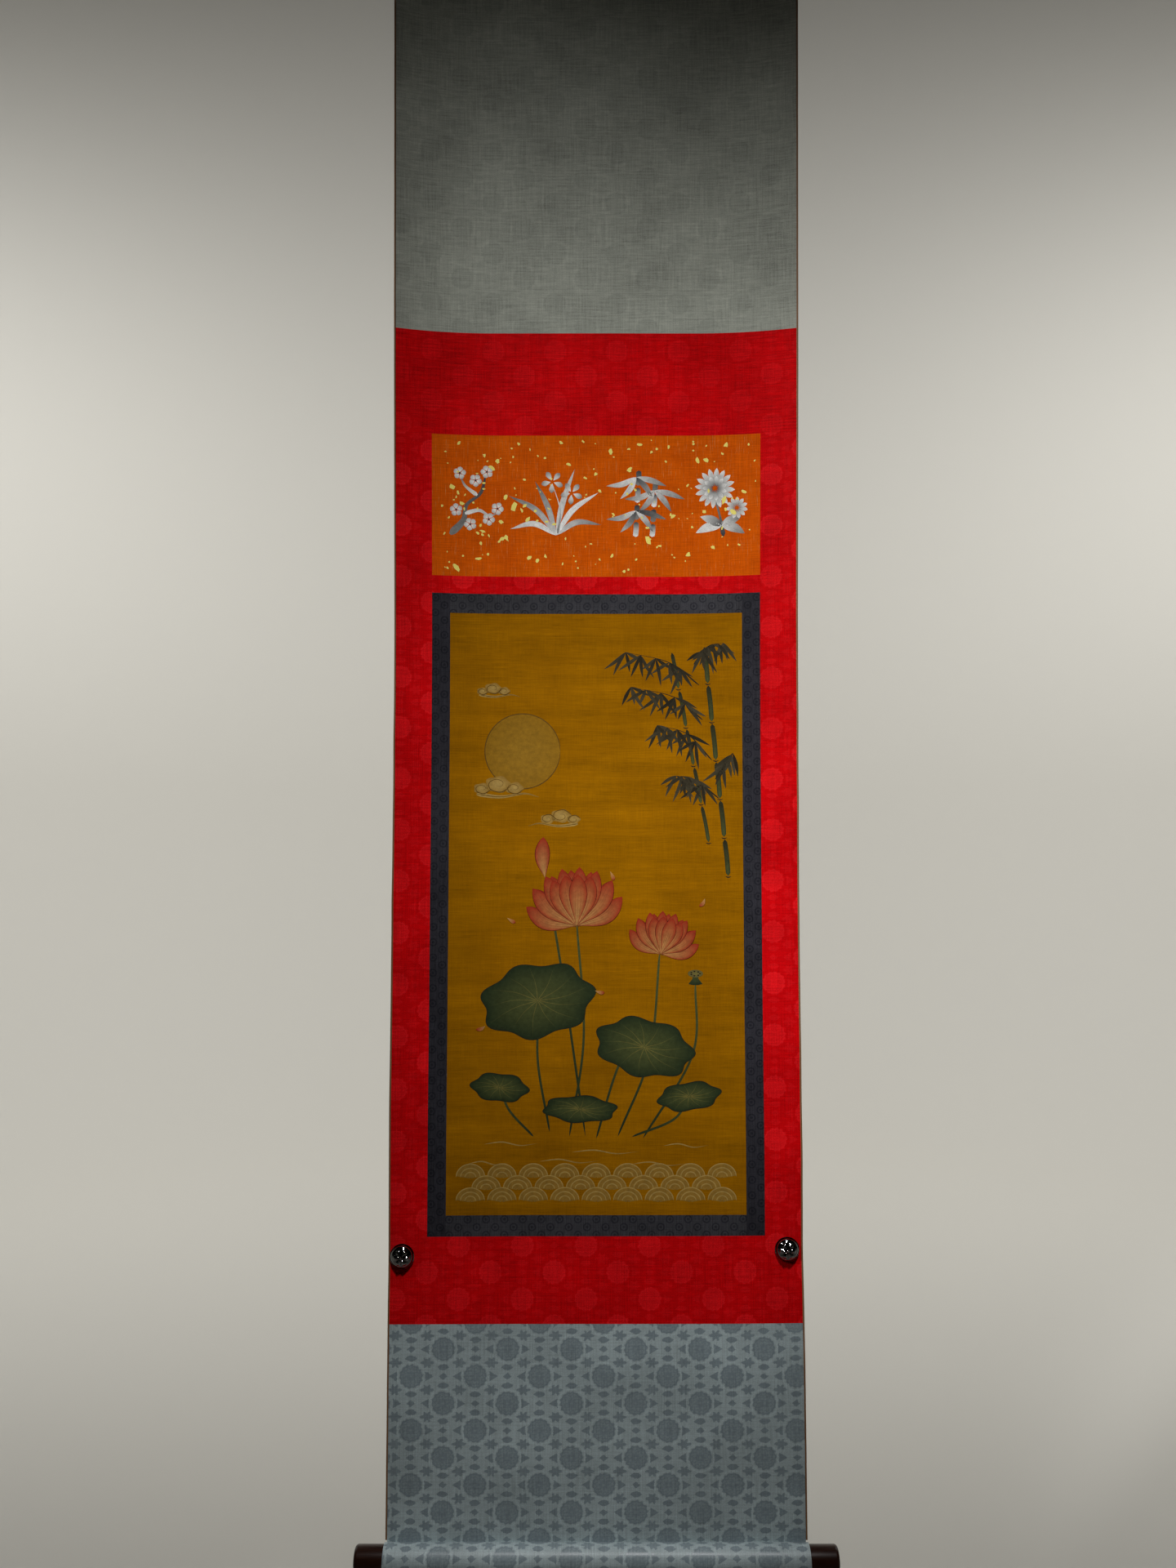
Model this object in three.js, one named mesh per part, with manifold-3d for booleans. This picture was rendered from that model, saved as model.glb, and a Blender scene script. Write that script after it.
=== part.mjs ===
// A Chinese hanging scroll: a picture pieced into a frame of figured silk, with a wrapped roller.
// Millimetres, +Z up. The cloth's front faces -Y, and the origin is the centre of its top edge.
// The pieces of cloth are patches of one bent sheet. A place on it has two flat measures:
// across, from the centre line towards +X, and down, from the top edge along the cloth.
import * as THREE from 'three';
import { mergeVertices } from 'three/addons/utils/BufferGeometryUtils.js';
import Module from 'manifold-3d';

const wasm = await Module();
wasm.setup();

// Cloth
const CLOTH_WIDTH = 460;
const CLOTH_THICK = 1;
const BINDING_WIDTH = 2;
const BINDING_THICK = 1.4;
const GAP = 0.3;

// Lengths of the pieces down the cloth
const HEAVEN_LENGTH = 428;
const RED_TOP_LENGTH = 116.5;
const GOLD_LENGTH = 161;
const CROSS_LENGTH = 20;
const BORDER_TOP_LENGTH = 22.5;
const PICTURE_LENGTH = 675.5;
const BORDER_BOTTOM_LENGTH = 23;
const RED_BOTTOM_LENGTH = 94;
const EARTH_LENGTH = 231.5;

// Widths of the strips beside the picture
const RED_SIDE_WIDTH = 42.5;
const BORDER_SIDE_WIDTH = 20.5;

// Roller, wrapped end and knobs
const ROD_RADIUS = 14;
const WRAP_RADIUS = 15;
const CREASE_ANGLE = -35;
const WRAP_END_ANGLE = 314;
const WRAP_STEPS = 22;
const ROD_LENGTH = 455;
const KNOB_LENGTH = 33.4;
const KNOB_RADIUS = 14;
const KNOB_ROUNDING = 3.5;
const BINDING_END_ABOVE_CREASE = 3;
const ROUND_SIDES = 32;
const CORNER_STEPS = 4;

// Studs: how far in from the cloth's edge, and how far down it
const STUDS = [
  { side: 'left', inward: 15.2, down: 1467 },
  { side: 'right', inward: 18.3, down: 1461 },
];
const STUD_RADIUS = 13.5;
const STUD_RIM = 1.6;
const STUD_DOME = 6.4;
const SHANK_RADIUS = 2.5;
const SHANK_HOLE_RADIUS = 3;
const STUD_CLEARANCE = 0.45;
const DOME_STEPS = 6;
const SEAT_PROBES = { around: 32, outward: 4 };

// Grid of a patch of cloth
const ROW_STEP = 30;
const FULL_COLUMNS = 16;
const MIDDLE_COLUMNS = 12;
const STRIP_COLUMNS = 4;
const NARROW_COLUMNS = 2;

// How the cloth hangs, a row for each station down it: off_wall is the centre line's distance from
// the wall, left and right are how far each side edge curls forward of that, and reach is how far
// in from the edge the curl starts.
const HANG = [
  { down: 0, off_wall: 50, left: 17, right: 15, reach: 110 },
  { down: 240, off_wall: 38, left: 17, right: 15, reach: 110 },
  { down: 460, off_wall: 27, left: 16, right: 15, reach: 115 },
  { down: 620, off_wall: 15.5, left: 16, right: 19, reach: 140 },
  { down: 760, off_wall: 5.5, left: 18, right: 20, reach: 160 },
  { down: 880, off_wall: 2.5, left: 21, right: 11, reach: 160 },
  { down: 1020, off_wall: 5, left: 22, right: 3, reach: 160 },
  { down: 1200, off_wall: 8, left: 19, right: 0, reach: 160 },
  { down: 1340, off_wall: 12.5, left: 10, right: -1, reach: 160 },
  { down: 1460, off_wall: 14.5, left: 4, right: -3, reach: 160 },
  { down: 1600, off_wall: 19, left: 0, right: -1, reach: 160 },
  { down: 1772, off_wall: 20.5, left: 0, right: 0, reach: 160 },
];

// Soft ridges left by rolling, across one side strip each, and the two hollows under the studs
const RIDGES = [
  { side: 'left', down: 892, forward: 2.2, spread: 22 },
  { side: 'left', down: 1077, forward: 1.8, spread: 20 },
  { side: 'left', down: 1300, forward: 1.5, spread: 25 },
  { side: 'left', down: 1467, forward: -2, spread: 30 },
  { side: 'right', down: 868, forward: 2.2, spread: 24 },
  { side: 'right', down: 965, forward: 2, spread: 20 },
  { side: 'right', down: 1235, forward: 2, spread: 22 },
  { side: 'right', down: 1362, forward: 1.6, spread: 20 },
  { side: 'right', down: 1460, forward: -2.5, spread: 30 },
];
const RIDGE_REACH = 90;

const HALF_WIDTH = CLOTH_WIDTH / 2;
const WALL_Y = HANG[0].off_wall;
const HALF_GAP = GAP / 2;

// Levels of the seams down the cloth
const GOLD_TOP = HEAVEN_LENGTH + RED_TOP_LENGTH;
const GOLD_BOTTOM = GOLD_TOP + GOLD_LENGTH;
const BORDER_TOP = GOLD_BOTTOM + CROSS_LENGTH;
const PICTURE_TOP = BORDER_TOP + BORDER_TOP_LENGTH;
const PICTURE_BOTTOM = PICTURE_TOP + PICTURE_LENGTH;
const BORDER_BOTTOM = PICTURE_BOTTOM + BORDER_BOTTOM_LENGTH;
const RED_BOTTOM = BORDER_BOTTOM + RED_BOTTOM_LENGTH;
const CREASE = RED_BOTTOM + EARTH_LENGTH;

// Finishes
const finish = (color, roughness, metalness = 0) =>
  new THREE.MeshStandardMaterial({ color, roughness, metalness });
const GREY_BLUE_SILK = finish(0x6f7d82, 0.6);
const RED_SILK = finish(0xc01018, 0.55);
const DARK_BLUE_SILK = finish(0x2f3540, 0.6);
const GOLD_FLECK_SILK = finish(0xb5530a, 0.6);
const PICTURE_SILK = finish(0x8a5f08, 0.6);
const BROWN_EDGE = finish(0x5a3320, 0.7);
const ROD_WOOD = finish(0xb08a5a, 0.7);
const LACQUERED_WOOD = finish(0x2a0c06, 0.25);
const POLISHED_METAL = finish(0x18181b, 0.12, 1);

// Smooth curve through the stations of one column of the hang table
function hangValue(column, down) {
  const last = HANG.length - 1;
  const next = HANG.findIndex((row) => row.down > down);
  const i = next < 0 ? last - 1 : Math.max(next - 1, 0);
  const slopeAt = (k) => {
    const a = HANG[Math.max(k - 1, 0)];
    const b = HANG[Math.min(k + 1, last)];
    return (b[column] - a[column]) / (b.down - a.down);
  };
  const span = HANG[i + 1].down - HANG[i].down;
  const t = THREE.MathUtils.clamp((down - HANG[i].down) / span, 0, 1);
  const start = (1 + 2 * t) * (1 - t) ** 2 * HANG[i][column] + t * (1 - t) ** 2 * span * slopeAt(i);
  const end = t * t * (3 - 2 * t) * HANG[i + 1][column] + t * t * (t - 1) * span * slopeAt(i + 1);
  return start + end;
}

// Distance inward from the edge that a ridge or a curl belongs to
const inwardFrom = (side, across) => (side === 'left' ? HALF_WIDTH + across : HALF_WIDTH - across);

// How far the sheet's middle surface stands in front of the wall
function offWall(across, down) {
  const reach = hangValue('reach', down);
  let forward = hangValue('off_wall', down);
  for (const side of ['left', 'right']) {
    const fade = Math.max(0, 1 - inwardFrom(side, across) / reach);
    forward += hangValue(side, down) * fade ** 2;
  }
  for (const ridge of RIDGES) {
    const fade = Math.max(0, 1 - inwardFrom(ridge.side, across) / RIDGE_REACH);
    forward += (ridge.forward * fade ** 2) / Math.cosh((down - ridge.down) / ridge.spread);
  }
  return forward;
}

// Heights down the centre line: each step along the cloth drops a little less where it slopes
const HEIGHT_STEP = 4;
const HEIGHTS = [0];
for (let down = HEIGHT_STEP; down <= CREASE; down += HEIGHT_STEP) {
  const lean = hangValue('off_wall', down) - hangValue('off_wall', down - HEIGHT_STEP);
  HEIGHTS.push(HEIGHTS[HEIGHTS.length - 1] - Math.sqrt(HEIGHT_STEP ** 2 - lean ** 2));
}

function heightAt(down) {
  const i = Math.min(Math.floor(down / HEIGHT_STEP), HEIGHTS.length - 2);
  return THREE.MathUtils.lerp(HEIGHTS[i], HEIGHTS[i + 1], down / HEIGHT_STEP - i);
}

// A curled side takes up some of the width, so its points move inward by that much
function sideways(across, down) {
  const reach = hangValue('reach', down);
  let x = across;
  for (const [side, inwardSign] of [['left', 1], ['right', -1]]) {
    const fade = Math.max(0, 1 - inwardFrom(side, across) / reach);
    x += inwardSign * ((2 * hangValue(side, down) ** 2) / (3 * reach)) * fade ** 3;
  }
  return x;
}

// Point of the sheet, raised in front of its middle surface along the surface's normal
function sheetPoint(across, down, raise) {
  const nudge = 1;
  const leanAcross = (offWall(across + nudge, down) - offWall(across - nudge, down)) / (2 * nudge);
  const leanDown = (offWall(across, down + nudge) - offWall(across, down - nudge)) / (2 * nudge);
  const normal = new THREE.Vector3(-leanAcross, -1, leanDown).normalize();
  const middle = new THREE.Vector3(sideways(across, down), WALL_Y - offWall(across, down), heightAt(down));
  return middle.addScaledVector(normal, raise);
}

// Closed solid between a front and a back grid of points, each given as rows of columns
function slab(front, back) {
  const rows = front.length;
  const columns = front[0].length;
  const positions = [...front.flat(), ...back.flat()].flatMap((point) => point.toArray());
  const frontIndex = (row, column) => row * columns + column;
  const backIndex = (row, column) => rows * columns + frontIndex(row, column);
  const faces = [];
  const quad = (a, b, c, d) => faces.push(a, b, c, a, c, d);
  for (let r = 0; r < rows - 1; r++) {
    for (let c = 0; c < columns - 1; c++) {
      quad(frontIndex(r, c), frontIndex(r + 1, c), frontIndex(r + 1, c + 1), frontIndex(r, c + 1));
      quad(backIndex(r, c), backIndex(r, c + 1), backIndex(r + 1, c + 1), backIndex(r + 1, c));
    }
  }
  for (let r = 0; r < rows - 1; r++) {
    const end = columns - 1;
    quad(frontIndex(r, 0), backIndex(r, 0), backIndex(r + 1, 0), frontIndex(r + 1, 0));
    quad(frontIndex(r + 1, end), backIndex(r + 1, end), backIndex(r, end), frontIndex(r, end));
  }
  for (let c = 0; c < columns - 1; c++) {
    const end = rows - 1;
    quad(frontIndex(0, c + 1), backIndex(0, c + 1), backIndex(0, c), frontIndex(0, c));
    quad(frontIndex(end, c), backIndex(end, c), backIndex(end, c + 1), frontIndex(end, c + 1));
  }
  const geometry = new THREE.BufferGeometry();
  geometry.setAttribute('position', new THREE.Float32BufferAttribute(positions, 3));
  geometry.setIndex(faces);
  return geometry;
}

const evenly = (start, end, count) =>
  Array.from({ length: count + 1 }, (_, i) => THREE.MathUtils.lerp(start, end, i / count));

// Columns that crowd towards the two side edges, where the cloth curls
const crowded = (half, count) =>
  Array.from({ length: count + 1 }, (_, i) => half * Math.sin(Math.PI * (i / count - 0.5)));

const rowsBetween = (top, bottom) =>
  evenly(top, bottom, Math.max(1, Math.round((bottom - top) / ROW_STEP)));

// Patch of cloth between two levels, drawn in by half a gap on every seam
function patch(columns, top, bottom, thick = CLOTH_THICK) {
  const rows = rowsBetween(top === 0 ? 0 : top + HALF_GAP, bottom - HALF_GAP);
  const side = (raise) => rows.map((down) => columns.map((across) => sheetPoint(across, down, raise)));
  return slab(side(thick / 2), side(-thick / 2));
}

const PANEL_HALF = HALF_WIDTH - BINDING_WIDTH - GAP;
const MIDDLE_HALF = HALF_WIDTH - RED_SIDE_WIDTH;
const PICTURE_HALF = MIDDLE_HALF - BORDER_SIDE_WIDTH;
const fullColumns = crowded(PANEL_HALF, FULL_COLUMNS);
const wrapColumns = crowded(HALF_WIDTH, FULL_COLUMNS);
const middleColumns = evenly(-MIDDLE_HALF + HALF_GAP, MIDDLE_HALF - HALF_GAP, MIDDLE_COLUMNS);
const pictureColumns = evenly(-PICTURE_HALF + HALF_GAP, PICTURE_HALF - HALF_GAP, MIDDLE_COLUMNS);
const mirrored = (side, inner, outer, count) =>
  side === 'left' ? evenly(-outer, -inner, count) : evenly(inner, outer, count);

const scroll = new THREE.Group();

function add(name, geometry, material) {
  const mesh = new THREE.Mesh(geometry, material);
  mesh.name = name;
  scroll.add(mesh);
  return mesh;
}

// The dark border's side strips run the whole height, and its top and bottom fit between them
function addClothAboveRoller() {
  add('heaven_panel', patch(fullColumns, 0, HEAVEN_LENGTH), GREY_BLUE_SILK);
  add('red_top_panel', patch(fullColumns, HEAVEN_LENGTH, GOLD_TOP), RED_SILK);
  add('gold_fleck_panel', patch(middleColumns, GOLD_TOP, GOLD_BOTTOM), GOLD_FLECK_SILK);
  add('red_cross_strip', patch(middleColumns, GOLD_BOTTOM, BORDER_TOP), RED_SILK);
  add('blue_border_top', patch(pictureColumns, BORDER_TOP, PICTURE_TOP), DARK_BLUE_SILK);
  add('picture_panel', patch(pictureColumns, PICTURE_TOP, PICTURE_BOTTOM), PICTURE_SILK);
  add('blue_border_bottom', patch(pictureColumns, PICTURE_BOTTOM, BORDER_BOTTOM), DARK_BLUE_SILK);
  for (const side of ['left', 'right']) {
    const red = mirrored(side, MIDDLE_HALF + HALF_GAP, PANEL_HALF, STRIP_COLUMNS);
    add(`red_side_${side}`, patch(red, GOLD_TOP, BORDER_BOTTOM), RED_SILK);
    const blue = mirrored(side, PICTURE_HALF + HALF_GAP, MIDDLE_HALF - HALF_GAP, NARROW_COLUMNS);
    add(`blue_border_${side}`, patch(blue, BORDER_TOP, BORDER_BOTTOM), DARK_BLUE_SILK);
    const edge = mirrored(side, HALF_WIDTH - BINDING_WIDTH, HALF_WIDTH, 1);
    const bindingEnd = CREASE - BINDING_END_ABOVE_CREASE;
    add(`edge_binding_${side}`, patch(edge, 0, bindingEnd, BINDING_THICK), BROWN_EDGE);
  }
}

// The roller's axis lies in front of and below the crease, where the sheet meets the wrapped end
const creaseTurn = THREE.MathUtils.degToRad(CREASE_ANGLE);
const AXIS_Y = WALL_Y - offWall(0, CREASE) + WRAP_RADIUS * Math.sin(creaseTurn);
const AXIS_Z = heightAt(CREASE) - WRAP_RADIUS * Math.cos(creaseTurn);

// The last piece of cloth comes straight down to the crease, turns sharply forward over the rod and
// goes round its front, underside and back. Angles run from the rod's top, towards the front.
// The wrapped end is the cloth's full width, because the turned side edges stop above the crease.
function addEarthPanel() {
  const flatRows = rowsBetween(RED_BOTTOM + HALF_GAP, CREASE).slice(0, -1);
  const side = (raise) => {
    const flat = flatRows.map((down) => fullColumns.map((across) => sheetPoint(across, down, raise)));
    // At the crease each face is mitred between the sheet and the wrapped end
    const turn = Math.PI / 2 - creaseTurn;
    const creaseY = WALL_Y - offWall(0, CREASE) - raise;
    const creaseZ = heightAt(CREASE) + raise * Math.tan(turn / 2);
    const wrapped = evenly(CREASE_ANGLE, WRAP_END_ANGLE, WRAP_STEPS).slice(1).map((degrees) => {
      const angle = THREE.MathUtils.degToRad(degrees);
      const radius = WRAP_RADIUS + raise;
      return { y: AXIS_Y - radius * Math.sin(angle), z: AXIS_Z + radius * Math.cos(angle) };
    });
    const line = (columns, { y, z }) => columns.map((across) => new THREE.Vector3(across, y, z));
    const round = wrapped.map((place) => line(wrapColumns, place));
    return [...flat, line(fullColumns, { y: creaseY, z: creaseZ }), ...round];
  };
  add('earth_panel', slab(side(CLOTH_THICK / 2), side(-CLOTH_THICK / 2)), GREY_BLUE_SILK);
}

function addRoller() {
  const shape = new THREE.CylinderGeometry(ROD_RADIUS, ROD_RADIUS, ROD_LENGTH, ROUND_SIDES);
  const rod = add('roller', shape, ROD_WOOD);
  rod.rotation.z = Math.PI / 2;
  rod.position.set(0, AXIS_Y, AXIS_Z);
}

// Turned knob: a plain cylinder whose outer corner is rounded over
function addKnobs() {
  const root = ROD_LENGTH / 2 + GAP;
  const shoulder = KNOB_LENGTH - KNOB_ROUNDING;
  const corner = evenly(0, Math.PI / 2, CORNER_STEPS).map((angle) => new THREE.Vector2(
    KNOB_RADIUS - KNOB_ROUNDING * (1 - Math.cos(angle)), shoulder + KNOB_ROUNDING * Math.sin(angle)));
  const rootFace = [new THREE.Vector2(0, 0), new THREE.Vector2(KNOB_RADIUS, 0)];
  const outline = [...rootFace, ...corner, new THREE.Vector2(0, KNOB_LENGTH)];
  for (const [side, sign] of [['left', -1], ['right', 1]]) {
    const knob = add(`knob_${side}`, new THREE.LatheGeometry(outline, ROUND_SIDES), LACQUERED_WOOD);
    knob.rotation.z = (-sign * Math.PI) / 2;
    knob.position.set(sign * root, AXIS_Y, AXIS_Z);
  }
}

// Where each stud's axis meets the sheet, and how far off the wall its rim must stand to clear it
function studSeat({ side, inward, down }) {
  const across = side === 'left' ? inward - HALF_WIDTH : HALF_WIDTH - inward;
  let highest = 0;
  for (const angle of evenly(0, 2 * Math.PI, SEAT_PROBES.around)) {
    for (const radius of evenly(0, STUD_RADIUS, SEAT_PROBES.outward)) {
      const at = Math.min(HALF_WIDTH, Math.max(-HALF_WIDTH, across + radius * Math.cos(angle)));
      highest = Math.max(highest, offWall(at, down + radius * Math.sin(angle)));
    }
  }
  const centre = sheetPoint(across, down, 0);
  return { x: centre.x, z: centre.z, seat: highest + BINDING_THICK / 2 + STUD_CLEARANCE };
}

// Domed stud on a shank that goes through the cloth and ends flat against the wall
function addStuds() {
  for (const stud of STUDS) {
    const { x, z, seat } = studSeat(stud);
    const dome = evenly(0, Math.PI / 2, DOME_STEPS).map((angle) => new THREE.Vector2(
      STUD_RADIUS * Math.cos(angle), seat + STUD_RIM + STUD_DOME * Math.sin(angle)));
    dome[dome.length - 1].x = 0;
    const tip = [new THREE.Vector2(0, 0), new THREE.Vector2(SHANK_RADIUS, 0)];
    const back = [new THREE.Vector2(SHANK_RADIUS, seat), new THREE.Vector2(STUD_RADIUS, seat)];
    const outline = [...tip, ...back, ...dome];
    const mesh = add(`stud_${stud.side}`, new THREE.LatheGeometry(outline, ROUND_SIDES), POLISHED_METAL);
    mesh.rotation.x = Math.PI;
    mesh.position.set(x, WALL_Y, z);
  }
}

// Solid for cutting, made from a geometry that is already in place
function toSolid(geometry) {
  const bare = geometry.clone();
  bare.deleteAttribute('normal');
  bare.deleteAttribute('uv');
  const merged = mergeVertices(bare, 1e-5);
  return new wasm.Manifold(new wasm.Mesh({
    numProp: 3,
    vertProperties: new Float32Array(merged.attributes.position.array),
    triVerts: new Uint32Array(merged.index.array),
  }));
}

function fromSolid(solid) {
  const { numProp, vertProperties, triVerts } = solid.getMesh();
  const geometry = new THREE.BufferGeometry();
  const positions = [];
  for (let i = 0; i < vertProperties.length; i += numProp) {
    positions.push(vertProperties[i], vertProperties[i + 1], vertProperties[i + 2]);
  }
  geometry.setAttribute('position', new THREE.Float32BufferAttribute(positions, 3));
  geometry.setIndex(Array.from(triVerts));
  return geometry;
}

// The full-width red piece under the picture has a hole at each end for a stud's shank
function addRedBottomPanel() {
  let cloth = toSolid(patch(fullColumns, BORDER_BOTTOM, RED_BOTTOM));
  for (const stud of STUDS) {
    const { x, z } = studSeat(stud);
    const drill = new THREE.CylinderGeometry(SHANK_HOLE_RADIUS, SHANK_HOLE_RADIUS, WALL_Y, ROUND_SIDES / 2);
    drill.translate(x, WALL_Y / 2, z);
    cloth = cloth.subtract(toSolid(drill));
  }
  add('red_bottom_panel', fromSolid(cloth), RED_SILK);
}

addClothAboveRoller();
addRedBottomPanel();
addEarthPanel();
addRoller();
addKnobs();
addStuds();

export default scroll;
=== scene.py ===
import math

import bpy
import numpy as np
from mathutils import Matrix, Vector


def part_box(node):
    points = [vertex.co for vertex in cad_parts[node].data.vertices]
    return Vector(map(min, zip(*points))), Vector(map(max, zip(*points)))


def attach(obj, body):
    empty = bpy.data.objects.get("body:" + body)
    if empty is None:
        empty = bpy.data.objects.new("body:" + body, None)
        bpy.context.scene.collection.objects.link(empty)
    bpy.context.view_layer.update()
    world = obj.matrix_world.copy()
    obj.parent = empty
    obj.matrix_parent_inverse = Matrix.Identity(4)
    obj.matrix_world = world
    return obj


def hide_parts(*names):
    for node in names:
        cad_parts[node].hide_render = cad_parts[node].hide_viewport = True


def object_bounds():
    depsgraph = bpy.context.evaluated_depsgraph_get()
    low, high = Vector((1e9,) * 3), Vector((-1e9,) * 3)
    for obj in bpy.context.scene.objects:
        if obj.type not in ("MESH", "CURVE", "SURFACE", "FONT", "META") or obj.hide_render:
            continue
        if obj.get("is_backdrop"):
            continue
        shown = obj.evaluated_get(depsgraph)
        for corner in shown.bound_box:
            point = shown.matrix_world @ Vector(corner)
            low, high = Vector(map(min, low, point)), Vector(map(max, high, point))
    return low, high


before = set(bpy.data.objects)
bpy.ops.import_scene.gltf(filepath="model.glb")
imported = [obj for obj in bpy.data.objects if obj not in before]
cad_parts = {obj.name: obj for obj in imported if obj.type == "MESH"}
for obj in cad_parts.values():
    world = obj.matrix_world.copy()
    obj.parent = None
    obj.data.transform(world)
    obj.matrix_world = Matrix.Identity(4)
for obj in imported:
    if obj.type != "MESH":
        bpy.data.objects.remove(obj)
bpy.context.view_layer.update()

# Camera: level with the middle of the picture, a step in front of the cloth and a little left of
# its centre line, tipped slightly upwards.
CAMERA_PLACE = (-0.0092, -1.2969, -1.0148)
CAMERA_TILT = 3.1
SENSOR_WIDTH = 36.0
FOCAL_PIXELS, LONG_SIDE = 1443, 1920

camera_data = bpy.data.cameras.new("scroll_camera")
camera_data.sensor_width = SENSOR_WIDTH
camera_data.lens = FOCAL_PIXELS / LONG_SIDE * SENSOR_WIDTH
camera_data.clip_start, camera_data.clip_end = 0.05, 60
camera = bpy.data.objects.new("scroll_camera", camera_data)
camera.location = CAMERA_PLACE
camera.rotation_euler = (math.radians(90 + CAMERA_TILT), 0, 0)
bpy.context.scene.collection.objects.link(camera)
bpy.context.scene.camera = camera

# The heaven panel: plain length of grey-blue figured silk at the top, from which all else hangs.
# Silk pasted on paper, so it keeps the soft bends that rolling leaves: it stands off the wall at the
# top, lies back towards the middle, and its two side edges curl forward.
CLOTH_WIDTH = 0.460
CLOTH_THICK = 0.001
BINDING_WIDTH = 0.002
HALF_WIDTH = CLOTH_WIDTH / 2
PANEL_HALF = HALF_WIDTH - BINDING_WIDTH
WALL = 0.050
SEAM = 0.00001
GRID = 0.0045
HEAVEN_BOTTOM = 0.428

# Stations down the cloth: off_wall is the centre line's distance from the wall, left and right are
# how far each side edge curls forward of that, and reach is how far in the curl starts.
STATIONS = {
    "down": [0, .240, .460, .620, .760, .880, 1.020, 1.200, 1.340, 1.460, 1.600, 1.772],
    "off_wall": [.050, .038, .027, .0155, .0055, .0025, .005, .008, .0125, .0145, .019, .0205],
    "left": [.017, .017, .016, .016, .018, .021, .022, .019, .010, .004, 0, 0],
    "right": [.015, .015, .015, .019, .020, .011, .003, 0, -.001, -.003, -.001, 0],
    "reach": [.110, .110, .115, .140, .160, .160, .160, .160, .160, .160, .160, .160],
}
STATIONS = {column: np.array(values, float) for column, values in STATIONS.items()}

# Soft ridges left by rolling, on one side each, and the two hollows pressed by the studs: the side,
# how far down, how far forward and how wide
RIDGES = [(-1, 0.892, 0.0022, 0.022), (-1, 1.077, 0.0018, 0.020), (-1, 1.300, 0.0015, 0.025),
          (-1, 1.467, -0.0020, 0.030), (1, 0.868, 0.0022, 0.024), (1, 0.965, 0.0020, 0.020),
          (1, 1.235, 0.0020, 0.022), (1, 1.362, 0.0016, 0.020), (1, 1.460, -0.0025, 0.030)]
RIDGE_REACH = 0.090
COCKLE, COCKLE_BAND, COCKLE_FADE = 0.00022, 0.083, 0.06
CREASE = 1.772
HEIGHT_STEP, NUDGE = 0.004, 0.001
SHARP_ANGLE = math.radians(40)


def hang(column, down):
    """Cubic Hermite curve through one column of the stations; the slope at a station is the rise
    between its two neighbours over their distance."""
    at, value = STATIONS["down"], STATIONS[column]
    slope = np.concatenate([
        [(value[1] - value[0]) / (at[1] - at[0])],
        (value[2:] - value[:-2]) / (at[2:] - at[:-2]),
        [(value[-1] - value[-2]) / (at[-1] - at[-2])]])
    i = np.clip(np.searchsorted(at, down, side="right") - 1, 0, len(at) - 2)
    span = at[i + 1] - at[i]
    t = np.clip((down - at[i]) / span, 0, 1)
    start = (1 + 2 * t) * (1 - t) ** 2 * value[i] + t * (1 - t) ** 2 * span * slope[i]
    end = t * t * (3 - 2 * t) * value[i + 1] + t * t * (t - 1) * span * slope[i + 1]
    return start + end


def edge_fade(across, side, reach):
    """1 at a side edge (side is -1 or 1), falling evenly to 0 at its reach from there."""
    return np.maximum(0, 1 - (HALF_WIDTH - side * across) / reach)


def off_wall(across, down):
    """Centre line's distance, plus each side's curl times the square of its fade towards the
    middle, plus each ridge times its own squared fade over the cosh of its distance down."""
    forward = hang("off_wall", down)
    for side, column in ((-1, "left"), (1, "right")):
        forward = forward + hang(column, down) * edge_fade(across, side, hang("reach", down)) ** 2
    for side, middle, height, wide in RIDGES:
        rise = height / np.cosh((down - middle) / wide)
        forward = forward + rise * edge_fade(across, side, RIDGE_REACH) ** 2
    return forward


def cockle(across, down):
    """Slight waviness of pasted silk: bands from rolling, about 80 mm apart, plus two slanting
    waves; it dies out towards the top edge and towards the crease."""
    bands = np.sin(2 * math.pi * down / COCKLE_BAND + 1.1 * np.sin(across / 0.09))
    slant = np.sin(across / 0.031 + down / 0.057) + np.sin(across / 0.047 - down / 0.039 + 1.3)
    fade = np.clip(down / COCKLE_FADE, 0, 1) * np.clip((CREASE - down) / COCKLE_FADE, 0, 1)
    return COCKLE * (bands + 0.45 * slant) * fade


HEIGHT_STATIONS = np.arange(0, CREASE + HEIGHT_STEP, HEIGHT_STEP)
LEANS = np.diff(hang("off_wall", HEIGHT_STATIONS))
HEIGHTS = -np.concatenate([[0], np.cumsum(np.sqrt(HEIGHT_STEP ** 2 - LEANS ** 2))])


def sheet_point(across, down, lift):
    """Place of (across, down) on the bent sheet, lifted in front of its middle surface along the
    normal: x is across less what the curls take up, y is the wall less the stand-off, z falls."""
    across, down = np.broadcast_arrays(np.asarray(across, float), np.asarray(down, float))
    lean_across = (off_wall(across + NUDGE, down) - off_wall(across - NUDGE, down)) / (2 * NUDGE)
    lean_down = (off_wall(across, down + NUDGE) - off_wall(across, down - NUDGE)) / (2 * NUDGE)
    normal = np.stack([-lean_across, -np.ones_like(across), lean_down], -1)
    normal /= np.linalg.norm(normal, axis=-1, keepdims=True)
    x, reach = across, hang("reach", down)
    for side, column in ((-1, "left"), (1, "right")):
        x = x - side * 2 * hang(column, down) ** 2 / (3 * reach) * edge_fade(across, side, reach) ** 3
    middle = np.stack([x, WALL - off_wall(across, down), np.interp(down, HEIGHT_STATIONS, HEIGHTS)], -1)
    return middle + normal * (np.asarray(lift)[..., None] + cockle(across, down)[..., None])


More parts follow.
